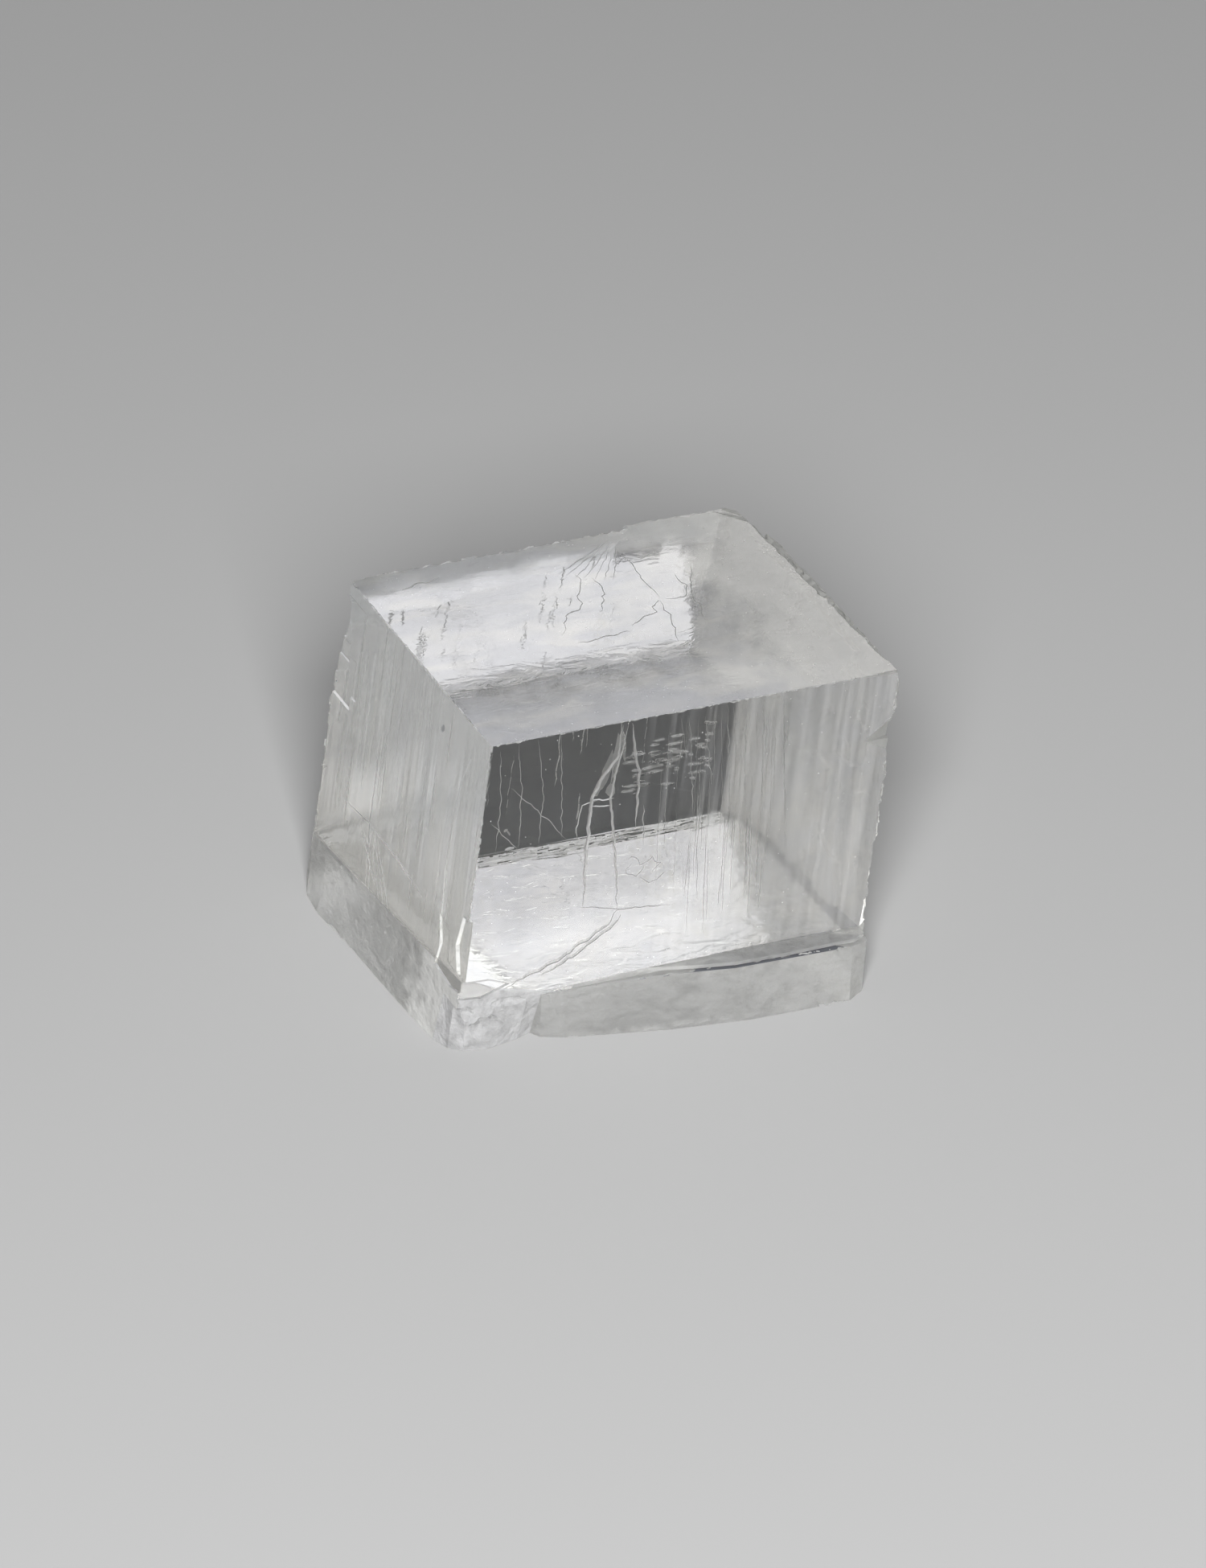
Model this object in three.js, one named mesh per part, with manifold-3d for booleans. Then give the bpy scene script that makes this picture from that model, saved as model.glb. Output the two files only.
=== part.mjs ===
// A raw piece of optical calcite (Iceland spar): one cleavage rhombohedron, millimetres, +Z up.
// It is shaped in cleavage coordinates and then sheared into space: p runs along the long top
// edge, q from front to back and s up the slanting upright edges, so every cleavage face and
// cleavage step is square to one of the three axes until the crystal is sheared at the end.
import * as THREE from "three";
import { mergeVertices } from "three/addons/utils/BufferGeometryUtils.js";
import Module from "manifold-3d";

// Driving dimensions.
const FACE_ANGLE = 101.92; // obtuse corner angle of a calcite cleavage face, degrees
const LENGTH = 45.4; // along p, at the top
const DEPTH = 34.1; // along q
const RISE = 36.2; // along s, from the base to the top face
const PARTING = 5.5; // where the basal parting runs, along s
const PARTING_GAP = 0.35; // opening of the parting
const LIP = 0.4; // thickness of the lip that overhangs the parting at the front
const SMALLEST = 0.02; // slivers thinner than this are smoothed away
const OVERHANG = 6; // how far a cutting tool reaches past the crystal
const SEED = 20733; // for the nicks along the edges

const wasm = await Module();
wasm.setup();

// ---- crystal directions -------------------------------------------------------------------

const obtuse = THREE.MathUtils.degToRad(FACE_ANGLE);
const lean = -Math.cos(obtuse);
const P_AXIS = new THREE.Vector3(1, 0, 0);
const Q_AXIS = new THREE.Vector3(Math.cos(obtuse), Math.sin(obtuse), 0);
const S_AXIS = new THREE.Vector3(lean, (lean * (1 + lean)) / Math.sin(obtuse), 0);
S_AXIS.z = Math.sqrt(1 - S_AXIS.lengthSq());

// ---- tools --------------------------------------------------------------------------------

// A small repeatable random source (mulberry32).
function randomSource(seed) {
  let state = seed;
  return (low = 0, high = 1) => {
    state = (state + 0x6d2b79f5) | 0;
    let t = Math.imul(state ^ (state >>> 15), 1 | state);
    t = (t + Math.imul(t ^ (t >>> 7), 61 | t)) ^ t;
    const unit = ((t ^ (t >>> 14)) >>> 0) / 4294967296;
    return low + (high - low) * unit;
  };
}

// A closed three.js geometry as a solid that can be cut and joined.
function solid(geometry) {
  geometry.deleteAttribute("normal");
  geometry.deleteAttribute("uv");
  const merged = mergeVertices(geometry, 1e-4);
  return new wasm.Manifold(
    new wasm.Mesh({
      numProp: 3,
      vertProperties: new Float32Array(merged.attributes.position.array),
      triVerts: new Uint32Array(merged.index.array),
    }),
  );
}

// The way back: a solid as a three.js geometry.
function geometryOf(body) {
  const mesh = body.getMesh();
  const positions = new Float32Array(mesh.numVert * 3);
  for (let i = 0; i < mesh.numVert; i++) {
    const at = i * mesh.numProp;
    positions.set(mesh.vertProperties.subarray(at, at + 3), i * 3);
  }
  return new THREE.BufferGeometry()
    .setAttribute("position", new THREE.BufferAttribute(positions, 3))
    .setIndex(new THREE.BufferAttribute(new Uint32Array(mesh.triVerts), 1));
}

// A prism square to one axis. The outline's points are (p, q) for a prism along s, (q, s) for
// one along p and (p, s) for one along q.
function prism(axis, outline, from, to) {
  const [x, y, z] = [new THREE.Vector3(1), new THREE.Vector3(0, 1), new THREE.Vector3(0, 0, 1)];
  const turns = {
    s: new THREE.Matrix4().makeBasis(x, y, z),
    p: new THREE.Matrix4().makeBasis(y, z, x),
    q: new THREE.Matrix4().makeBasis(z, x, y),
  };
  const points = outline.map(([a, b]) =>
    axis === "q" ? new THREE.Vector2(b, a) : new THREE.Vector2(a, b),
  );
  const geometry = new THREE.ExtrudeGeometry(new THREE.Shape(points), {
    depth: to - from,
    bevelEnabled: false,
  });
  return solid(geometry.translate(0, 0, from).applyMatrix4(turns[axis]));
}

// A block with its sides along the cleavage.
function block(p, q, s) {
  const geometry = new THREE.BoxGeometry(p[1] - p[0], q[1] - q[0], s[1] - s[0]);
  geometry.translate((p[0] + p[1]) / 2, (q[0] + q[1]) / 2, (s[0] + s[1]) / 2);
  return solid(geometry);
}

// A faceted lens that scoops out a shell-shaped break.
function scoop(centre, radii, turn = [0, 0, 0], facets = 3) {
  const geometry = new THREE.IcosahedronGeometry(1, facets);
  geometry.scale(...radii);
  geometry.applyMatrix4(
    new THREE.Matrix4().makeRotationFromEuler(new THREE.Euler(...turn)),
  );
  return solid(geometry.translate(...centre));
}

const cutAll = (body, tools) => tools.reduce((left, tool) => left.subtract(tool), body);
const joinAll = (body, pieces) => pieces.reduce((whole, piece) => whole.add(piece), body);

// ---- the block above the parting ----------------------------------------------------------

// Seen from above: straight front and left faces, a right end and a back that wander a little.
const BLOCK_PLAN = [
  [0, 0],
  [45.9, 0],
  [45.8, 3.6],
  [45.4, 9.2],
  [45.7, 14.2],
  [45.5, 18.4],
  [45.1, 21.6],
  [45.3, 25],
  [44.6, 29.2],
  [43.9, 32.9],
  [42.9, 33.7],
  [36.8, 33.7],
  [31.4, 34.1],
  [15, 34.0],
  [8.2, 34.3],
  [0, 34.2],
];

// The right end seen from the front, as (p, s): the corner under the top is broken back.
const RIGHT_END = [
  [-OVERHANG, -1],
  [46, -1],
  [45.8, 11],
  [45.6, 14.6],
  [46.0, 18],
  [45.7, 20.3],
  [46.1, 23],
  [45.9, 25],
  [45.4, 27.2],
  [45.6, 30.6],
  [46.1, 32.6],
  [45.9, 34.6],
  [45.4, RISE],
  [-OVERHANG, RISE],
];

// The upper back has lost a wedge-shaped layer with a stepped lower border, as (p, s).
const BACK_LAYER = {
  border: [
    [-OVERHANG, 25.3],
    [2.8, 24.6],
    [6.5, 26.3],
    [11.5, 25.6],
    [16.8, 27.6],
    [23.6, 28.1],
    [27.2, 30.8],
    [30.4, 31.4],
    [31.6, 34.2],
    [31.8, RISE + 1],
    [-OVERHANG, RISE + 1],
  ],
  foot: 24, // where the wedge would run out, along s
  step: 0.12, // depth there
  deepest: 1.1, // depth at the top
};

function backLayer() {
  const { border, foot, step, deepest } = BACK_LAYER;
  const [back, top] = [DEPTH + OVERHANG, RISE + 1];
  const wedge = prism(
    "p",
    [[DEPTH - step, foot], [back, foot], [back, top], [DEPTH - deepest, top]],
    -OVERHANG,
    LENGTH,
  );
  return prism("q", border, DEPTH - OVERHANG, back).intersect(wedge);
}

// Steps at the top of the left back edge, as blocks of p, q and s.
function leftBackSteps() {
  const reach = DEPTH + OVERHANG;
  return [
    block([-1, 1.6], [32.6, reach], [29.2, RISE + 1]),
    block([-1, 0.9], [32.3, reach], [30.6, 33.9]),
    block([-1, 3.1], [32.8, reach], [33.2, RISE + 1]),
    block([-1, 0.5], [31.6, reach], [27.2, 29.4]),
    block([-1, 0.32], [29.9, reach], [22.6, 28.2]),
    block([-1, 0.18], [28.7, reach], [24.2, 34.6]),
    block([-1, 1.3], [33.8, reach], [10.6, 13.4]),
  ];
}

// A splinter that still stands on the left back edge beside the steps.
function splinter() {
  return prism(
    "p",
    [
      [31.0, 26.6],
      [33.5, 27.1],
      [33.2, 27.9],
      [33.7, 28.8],
      [32.5, 28.5],
      [31.0, 29.3],
    ],
    0.55,
    1.15,
  );
}

// Terraces on the right end: each is the depth of a layer that is gone and its (q, s) corners.
const END_TERRACES = [
  { depth: 0.9, corners: [[19.5, 23.5], [26.4, 22.1], [36, 22.6], [36, 33.2], [18.6, 34.4]] },
  { depth: 0.5, corners: [[8.2, 26.4], [18.8, 25.1], [20.4, 33.4], [7.4, 32.6]] },
  { depth: 0.7, corners: [[3.2, 13.2], [7.8, 12.4], [11.9, 15.6], [11.2, 21.9], [6.1, 22.4]] },
  { depth: 0.45, corners: [[14.6, 8.4], [24.6, 7.3], [31.2, 9.6], [29.7, 18.9], [15.3, 16.8]] },
  { depth: 0.85, corners: [[27.2, 12.6], [36, 11.9], [36, 20.8], [26.1, 21.7]] },
];

function endTerraces() {
  return END_TERRACES.map(({ depth, corners }) =>
    prism("p", corners, LENGTH - depth, LENGTH + OVERHANG),
  );
}

// Small thin steps scattered over the right end, which broke unevenly, by q and s.
const END_STEPS = { middle: [20, 19], spread: [13, 12], steps: 24, deepest: 0.6 };

function endSteps() {
  const random = randomSource(SEED + 1);
  const { middle, spread, steps, deepest } = END_STEPS;
  const corners = 5;
  return Array.from({ length: steps }, () => {
    const [q, s] = middle.map((centre, i) => centre + random(-1, 1) * spread[i]);
    const [wide, tall] = [random(1.5, 4.5), random(1.2, 4)];
    const outline = Array.from({ length: corners }, (_, k) => {
      const turn = ((k + random(-0.3, 0.3)) / corners) * 2 * Math.PI;
      return [q + wide * Math.cos(turn), s + tall * Math.sin(turn)];
    });
    return prism("p", outline, LENGTH - random(0.1, 1) * deepest, LENGTH + OVERHANG);
  });
}

// The three-cornered flake that is gone from the front right edge, below the top corner.
function edgeFlake() {
  const [tip, low, high, reach] = [42.5, 28.4, 31.7, LENGTH + 1.8];
  const slope = prism("s", [[tip, -0.12], [reach, -2], [reach, 0.95]], low, high);
  return slope.intersect(prism("q", [[tip, low], [reach, low], [reach, high]], -2, 2.1));
}

// A thin lip along the foot of the front face, over the opening of the parting.
function frontLip() {
  const foot = PARTING + PARTING_GAP;
  return prism(
    "s",
    [
      [19.5, 0.6],
      [22.4, -0.35],
      [26.2, -1.2],
      [30.4, -1.9],
      [36.2, -2.0],
      [41.6, -1.85],
      [43.8, -1.95],
      [45.2, -1.3],
      [45.4, 0.6],
    ],
    foot,
    foot + LIP,
  );
}

function upperBlock() {
  const plan = prism("s", BLOCK_PLAN, PARTING, RISE);
  const whole = plan.intersect(prism("q", RIGHT_END, -OVERHANG, DEPTH + OVERHANG));
  const layered = cutAll(whole, [
    backLayer(),
    ...leftBackSteps(),
    ...endTerraces(),
    ...endSteps(),
    edgeFlake(),
  ]);
  return joinAll(layered, [splinter(), frontLip()]);
}

// ---- the slab below the parting -----------------------------------------------------------

// Each entry holds the foot's point (p, q) and the point above it at the parting.
const SLAB_RIM = [
  { foot: [-0.4, 3.6], rim: [0, 3.2] },
  { foot: [0.3, 1.6], rim: [0.15, 1.2] },
  { foot: [1.7, 0.6], rim: [0.9, 0.3] },
  { foot: [4.1, 0.2], rim: [4.1, 0] },
  { foot: [7.8, 0.9], rim: [7.8, 0] },
  { foot: [9.5, 1.5], rim: [9.5, 0.2] },
  { foot: [10.2, 0.5], rim: [10.2, 0] },
  { foot: [12.6, -0.4], rim: [12.6, -0.1] },
  { foot: [16.7, -1.2], rim: [16.7, -0.2] },
  { foot: [23.7, -2.5], rim: [23.7, -0.8] },
  { foot: [32.1, -3.4], rim: [30.4, -1.9] },
  { foot: [41.0, -3.5], rim: [40.6, -2.1] },
  { foot: [43.3, -3.5], rim: [43.6, -2.1] },
  { foot: [45.4, -2.2], rim: [45.5, -1.6] },
  { foot: [46.4, 0.6], rim: [46.1, 0.6] },
  { foot: [46.4, 6], rim: [46.0, 6.2] },
  { foot: [45.7, 14], rim: [45.5, 13.6] },
  { foot: [46.1, 22], rim: [45.7, 22.4] },
  { foot: [45.0, 29], rim: [44.8, 29] },
  { foot: [44.3, 33.6], rim: [44.1, 33.4] },
  { foot: [36, 34.1], rim: [36, 33.6] },
  { foot: [24, 34.0], rim: [24, 34.0] },
  { foot: [12, 34.6], rim: [12, 34.3] },
  { foot: [0.2, 34.8], rim: [0.1, 34.4] },
  { foot: [-1.4, 31.4], rim: [0, 31] },
  { foot: [-1.8, 28], rim: [0, 28] },
  { foot: [-1.2, 20], rim: [0, 20] },
  { foot: [-0.9, 11], rim: [0, 11] },
];

function slab() {
  const outline = SLAB_RIM.map(({ foot }) => new THREE.Vector2(...foot));
  const geometry = new THREE.ExtrudeGeometry(new THREE.Shape(outline), {
    depth: PARTING,
    bevelEnabled: false,
  });
  const place = geometry.attributes.position;
  for (let i = 0; i < place.count; i++) {
    if (place.getZ(i) < PARTING / 2) continue;
    const at = new THREE.Vector2(place.getX(i), place.getY(i));
    const nearest = outline.reduce((best, point, k) =>
      point.distanceTo(at) < outline[best].distanceTo(at) ? k : best,
      0,
    );
    place.setXY(i, ...SLAB_RIM[nearest].rim);
  }
  return solid(geometry);
}

// The neck that still joins the block and the slab, along the left, back and right sides.
// The opening of the parting is what this outline leaves out of the slab's plan.
const PARTING_OPENING = [
  [13.5, -OVERHANG],
  [41.8, -OVERHANG],
  [42.2, -0.6],
  [43.4, 4],
  [43.2, 20],
  [41.2, 29.6],
  [12.5, 30.2],
  [6.2, 22],
  [7.4, 8.5],
  [12.6, 2.4],
];

// ---- breaks and nicks ---------------------------------------------------------------------

// Shell-shaped breaks: the crushed front corner of the foot, blunt corners and the foot's rim.
function scoops() {
  return [
    scoop([-6.6, -2.2, 2.4], [7.4, 9.2, 4.2], [0.1, 0.15, 0.3]),
    scoop([3.8, -5.9, 1.2], [6.4, 6.6, 3.6], [0.3, 0, 0.1]),
    scoop([9.6, -3.4, 0.4], [1.7, 4.4, 2.3], [0.2, 0, 0], 2),
    scoop([-1.3, -1.5, 7.3], [2.1, 2.4, 1.5], [0.4, 0.2, 0.6], 1),
    scoop([-1.6, 34.6, RISE + 1.2], [2.9, 3.2, 2.0], [0.3, 0.4, 0], 2),
    scoop([46.4, -1.3, RISE + 1.1], [2.5, 2.2, 2.1], [0, 0.5, 0.2], 2),
    scoop([45.2, 34.8, RISE + 0.8], [2.6, 2.4, 2.6], [0.2, 0, 0.4], 2),
    scoop([47.6, -3.9, -0.9], [2.9, 2.8, 2.6], [0, 0.3, 0.2], 2),
    scoop([47.9, 35.2, 1.4], [4.2, 3.4, 5.2], [0.2, 0.1, 0], 3),
    scoop([-2.4, 35.9, -0.4], [2.9, 2.7, 4.4], [0, 0.2, 0.1], 2),
    scoop([49.0, 10.0, 24.4], [3.7, 5.6, 3.9], [0, 0.1, 0.3], 3),
    scoop([27.4, 37.4, 3.0], [6.2, 4.0, 3.4], [0.1, 0, 0.1], 3),
  ];
}

// Thin flakes that are gone from the left face beside the front edge and above the parting.
function frontEdgeFlakes() {
  return [
    prism("p", [[-1, 7.6], [2.4, 6.9], [5.9, 7.4], [5.2, 10.2], [6.1, 13.2], [3.9, 12.4], [3.4, 9.2], [-1, 8.7]], -1, 0.28),
    prism("p", [[-1, 8.5], [1.2, 8.9], [2.2, 11.8], [1.4, 15.6], [-1, 15.9]], -1, 0.5),
    prism("q", [[-1, 6.7], [2.6, 6.4], [5.6, 7.5], [3.2, 8.4], [-1, 8.6]], -1, 0.35),
  ];
}

// The edges that carry nicks: two ends, how many, how long and how deep they may be.
const EDGES = [
  { from: [1, 0, RISE], to: [44, 0, RISE], nicks: 22, longest: 2.4, deepest: 0.16 },
  { from: [0, 3, RISE], to: [0, 32, RISE], nicks: 18, longest: 2.6, deepest: 0.2 },
  { from: [2, 33, RISE], to: [31, 33, RISE], nicks: 20, longest: 3.8, deepest: 0.36 },
  { from: [32, 34.0, RISE], to: [43, 33.7, RISE], nicks: 9, longest: 3.8, deepest: 0.5 },
  { from: [LENGTH, 2, RISE], to: [44.4, 32, RISE], nicks: 22, longest: 3.8, deepest: 0.5 },
  { from: [0, 0, 9], to: [0, 0, 35], nicks: 15, longest: 2.2, deepest: 0.17 },
  { from: [45.9, 0, 7], to: [45.9, 0, 35], nicks: 18, longest: 3.4, deepest: 0.42 },
  { from: [0, 34.2, 1], to: [0, 34.2, 25], nicks: 14, longest: 3.4, deepest: 0.42 },
  { from: [43.7, 33.4, 6], to: [43.7, 33.4, 35], nicks: 16, longest: 4, deepest: 0.8 },
  { from: [-1.2, 4, 0], to: [-1.4, 33, 0], nicks: 14, longest: 3, deepest: 0.4 },
  { from: [13, -0.4, 0], to: [43, -3.6, 0], nicks: 15, longest: 3, deepest: 0.35 },
  { from: [46.4, 1, 0], to: [44.8, 33, 0], nicks: 16, longest: 3.6, deepest: 0.7 },
  { from: [1, 34.7, 0], to: [43, 34, 0], nicks: 18, longest: 3.8, deepest: 0.7 },
  { from: [14, -0.2, PARTING], to: [45, -2.2, PARTING], nicks: 12, longest: 2.4, deepest: 0.3 },
];

// One nick: an eight-sided chip stretched along the edge, or now and then a small square step.
function nick(at, along, longest, deepest, random) {
  const squareShare = 0.18;
  const isSquare = random() < squareShare;
  const geometry = isSquare ? new THREE.BoxGeometry(1, 1, 1) : new THREE.OctahedronGeometry(1, 0);
  const size = [0, 1, 2].map((axis) =>
    axis === along ? random(0.3, 1) * longest * 0.6 : random(0.5, 1.4) * deepest,
  );
  geometry.scale(...size);
  if (!isSquare) {
    const roll = random(0, Math.PI / 2);
    const sway = random(-0.25, 0.25);
    geometry.rotateX(along === 0 ? roll : sway);
    geometry.rotateY(along === 1 ? roll : sway);
    geometry.rotateZ(along === 2 ? roll : sway);
  }
  return solid(geometry.translate(...at));
}

function nicks() {
  const random = randomSource(SEED);
  const tools = [];
  for (const { from, to, nicks: count, longest, deepest } of EDGES) {
    const start = new THREE.Vector3(...from);
    const end = new THREE.Vector3(...to);
    const run = end.clone().sub(start).toArray().map(Math.abs);
    const along = run.indexOf(Math.max(...run));
    for (let i = 0; i < count; i++) {
      const at = start.clone().lerp(end, (i + random(0.1, 0.9)) / count);
      tools.push(nick(at.toArray(), along, longest, deepest, random));
    }
  }
  return tools;
}

// ---- the crystal --------------------------------------------------------------------------

function crystalSolid() {
  const parting = prism("s", PARTING_OPENING, PARTING, PARTING + PARTING_GAP);
  const joined = upperBlock().add(slab());
  const broken = cutAll(joined, [parting, ...scoops(), ...frontEdgeFlakes(), ...nicks()]);
  return broken.simplify(SMALLEST);
}

const calcite = new THREE.MeshStandardMaterial({
  name: "calcite",
  color: 0xdfe1dd,
  roughness: 0.12,
  metalness: 0,
  transparent: true,
  opacity: 0.45,
});

const shape = geometryOf(crystalSolid());
shape.applyMatrix4(new THREE.Matrix4().makeBasis(P_AXIS, Q_AXIS, S_AXIS));
shape.computeBoundingBox();
const { min, max } = shape.boundingBox;

const crystal = new THREE.Mesh(shape, calcite);
crystal.name = "calcite_crystal";
crystal.position.set(-(min.x + max.x) / 2, -(min.y + max.y) / 2, -min.z);

const rawCalcite = new THREE.Group();
rawCalcite.name = "raw_calcite";
rawCalcite.add(crystal);

export default rawCalcite;
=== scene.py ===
"""Raw calcite: one clear cleavage piece with an opened parting, cracks and broken edges.

The crystal is worked in cleavage coordinates, in millimetres: p runs along the long top edge, q from
front to back and s up the slanting edges. Every cleavage face is square to one of the three until the
finished mesh is sheared into the row's metres.
"""

import logging
import math
import random
from collections.abc import Callable, Iterable
from dataclasses import dataclass, field, replace
from enum import Enum, IntEnum

import bmesh
import bpy
from mathutils import Euler, Matrix, Vector, noise


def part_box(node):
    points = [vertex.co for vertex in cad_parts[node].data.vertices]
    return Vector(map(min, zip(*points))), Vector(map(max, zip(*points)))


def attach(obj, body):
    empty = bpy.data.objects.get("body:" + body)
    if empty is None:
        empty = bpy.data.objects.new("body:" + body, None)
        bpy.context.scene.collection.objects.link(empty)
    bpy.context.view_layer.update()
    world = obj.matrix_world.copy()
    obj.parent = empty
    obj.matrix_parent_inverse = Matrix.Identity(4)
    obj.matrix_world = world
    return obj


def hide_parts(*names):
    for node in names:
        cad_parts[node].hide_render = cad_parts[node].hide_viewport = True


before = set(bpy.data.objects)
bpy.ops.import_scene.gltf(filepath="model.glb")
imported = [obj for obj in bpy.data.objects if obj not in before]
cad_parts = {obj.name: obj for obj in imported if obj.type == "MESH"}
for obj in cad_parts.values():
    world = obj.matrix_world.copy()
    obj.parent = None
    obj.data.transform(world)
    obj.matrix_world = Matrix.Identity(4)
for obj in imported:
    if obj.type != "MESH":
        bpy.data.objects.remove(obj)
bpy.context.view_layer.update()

LOG = logging.getLogger("raw_calcite")
MM = 0.001
NOISE_SEED = 11

Point = tuple[float, float, float]
Outline = list[tuple[float, float]]


class Axis(IntEnum):
    """A cleavage direction."""

    P = 0
    Q = 1
    S = 2


class Operation(Enum):
    """What a tool does to the crystal."""

    CUT = "DIFFERENCE"
    JOIN = "UNION"


class Skin(IntEnum):
    """The finishes of the crystal, in the order of its material slots."""

    TOP = 0
    FRONT = 1
    LEFT = 2
    BACK = 3
    END = 4
    BREAK = 5
    FILM = 6
    VEIL = 7
    FOOT = 8
    BASE = 9
    CHIP = 10
    # Painted shade in the open slot, and the dark speck on the left face.
    GROOVE = 11
    FLANK = 12


# ---- cleavage ------------------------------------------------------------------------------


@dataclass(frozen=True)
class Cleavage:
    """Calcite's cleavage directions and the crystal's place in the row.

    Attributes:
        face_angle: obtuse corner angle of a cleavage face, degrees.
        corner: front left base corner from the low corner of the box, in millimetres.
        length: along p at the top, in millimetres.
        depth: along q.
        rise: along s, from the base to the top face.
    """

    face_angle: float = 101.92
    corner: tuple[float, float] = (7.874, 3.425)
    length: float = 45.4
    depth: float = 34.1
    rise: float = 36.2

    def to_row(self) -> Matrix:
        """Gives the way from (p, q, s) in millimetres to the row's metres.

        Returns:
            A matrix that shears, scales and places the crystal.
        """
        obtuse = math.radians(self.face_angle)
        lean = -math.cos(obtuse)
        along_q = Vector((math.cos(obtuse), math.sin(obtuse), 0.0))
        along_s = Vector((lean, lean * (1 + lean) / math.sin(obtuse), 0.0))
        along_s.z = math.sqrt(1 - along_s.length_squared)
        shear = Matrix(((1, 0, 0), along_q, along_s)).transposed().to_4x4()
        low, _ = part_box("calcite_crystal")
        place = Vector((low[0], low[1], low[2])) + Vector((*self.corner, 0.0)) * MM
        return Matrix.Translation(place) @ Matrix.Scale(MM, 4) @ shear


# ---- finishes ------------------------------------------------------------------------------


class NodeBench:
    """A material's node tree with short calls to add and join nodes."""

    def __init__(self, name: str) -> None:
        """Starts a material that holds one Principled shader.

        Args:
            name: the material's name.
        """
        self.material = bpy.data.materials.new(name)
        self.material.use_nodes = True
        self.tree = self.material.node_tree
        self.shader = self.tree.nodes["Principled BSDF"]
        self.output = self.tree.nodes["Material Output"]
        self.place: bpy.types.NodeSocket | None = None

    def add(self, kind: str, **values: object) -> bpy.types.Node:
        """Adds a node and sets its properties or inputs by name.

        Args:
            kind: the node's type name.
            values: properties, or inputs with underscores for blanks.

        Returns:
            The new node.
        """
        node = self.tree.nodes.new(kind)
        for key, value in values.items():
            if hasattr(node, key):
                setattr(node, key, value)
            else:
                node.inputs[key.replace("_", " ")].default_value = value
        return node

    def link(self, source: bpy.types.NodeSocket, target: bpy.types.NodeSocket) -> None:
        """Joins two sockets."""
        self.tree.links.new(source, target)

    def set(self, **values: object) -> None:
        """Sets inputs on the shader by name, with underscores for blanks."""
        for key, value in values.items():
            self.shader.inputs[key.replace("_", " ")].default_value = value

    def crystal_place(self) -> bpy.types.NodeSocket:
        """Gives the shading point's (p, q, s) in millimetres.

        Returns:
            A vector socket along the cleavage directions.
        """
        if self.place is None:
            inverse = Cleavage().to_row().inverted()
            position = self.add("ShaderNodeTexCoord").outputs["Object"]
            parts = self.add("ShaderNodeCombineXYZ")
            for row, part in zip(inverse, parts.inputs):
                along = self.add("ShaderNodeVectorMath", operation="DOT_PRODUCT")
                self.link(position, along.inputs[0])
                along.inputs[1].default_value = row[:3]
                shift = self.add("ShaderNodeMath", operation="ADD")
                self.link(along.outputs["Value"], shift.inputs[0])
                shift.inputs[1].default_value = row[3]
                self.link(shift.outputs["Value"], part)
            self.place = parts.outputs["Vector"]
        return self.place

    def grain(self, grain: "Grain", clamp: bool = True) -> bpy.types.NodeSocket:
        """Adds a noise that follows the cleavage.

        Args:
            grain: its sizes along p, q and s, and its detail.
            clamp: whether it is held between 0 and 1; a relief isn't, so that it has no flat tops.

        Returns:
            A socket with the noise.
        """
        stretch = self.add("ShaderNodeVectorMath", operation="MULTIPLY")
        self.link(self.crystal_place(), stretch.inputs[0])
        stretch.inputs[1].default_value = tuple(1 / size for size in grain.size)
        noise_node = self.add(
            "ShaderNodeTexNoise", Scale=1.0, Detail=grain.detail, Roughness=grain.rough
        )
        noise_node.inputs["Distortion"].default_value = grain.swirl
        self.link(stretch.outputs["Vector"], noise_node.inputs["Vector"])
        spread = self.add("ShaderNodeMapRange", clamp=clamp)
        spread.inputs["From Min"].default_value = grain.low
        spread.inputs["From Max"].default_value = grain.high
        self.link(noise_node.outputs["Fac"], spread.inputs["Value"])
        return spread.outputs["Result"]

    def amount(self, grain: "Grain", gather: "Gather | None") -> bpy.types.NodeSocket:
        """Adds patches that may gather towards one end of the crystal.

        Args:
            grain: the patches.
            gather: where they gather, or None for all over the face.

        Returns:
            A socket from 0, none, to 1, full.
        """
        patches = self.grain(grain)
        if gather is None:
            return patches
        split = self.add("ShaderNodeSeparateXYZ")
        self.link(self.crystal_place(), split.inputs[0])
        wander = self.add("ShaderNodeMath", operation="MULTIPLY_ADD")
        self.link(patches, wander.inputs[0])
        wander.inputs[1].default_value = gather.wander
        self.link(split.outputs[int(gather.axis)], wander.inputs[2])
        rise = self.add("ShaderNodeMapRange", interpolation_type="SMOOTHSTEP")
        rise.inputs["From Min"].default_value = gather.start + gather.wander / 2
        rise.inputs["From Max"].default_value = gather.end + gather.wander / 2
        self.link(wander.outputs["Value"], rise.inputs["Value"])
        return rise.outputs["Result"]

    def blend(self, name: str, amount: bpy.types.NodeSocket, value: object) -> None:
        """Lays a value over an input of the shader, as far as an amount says.

        Args:
            name: the shader's input.
            amount: socket from 0, as it was, to 1, the new value.
            value: the new value, a number or a colour.
        """
        target = self.shader.inputs[name]
        is_colour = target.type == "RGBA"
        mix = self.add("ShaderNodeMix", data_type="RGBA" if is_colour else "FLOAT")
        before, after = [socket for socket in mix.inputs if socket.enabled][1:3]
        self.link(amount, mix.inputs["Factor"])
        if target.links:
            self.link(target.links[0].from_socket, before)
        else:
            before.default_value = target.default_value
        after.default_value = value
        result = [socket for socket in mix.outputs if socket.enabled][0]
        self.link(result, target)

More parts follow.
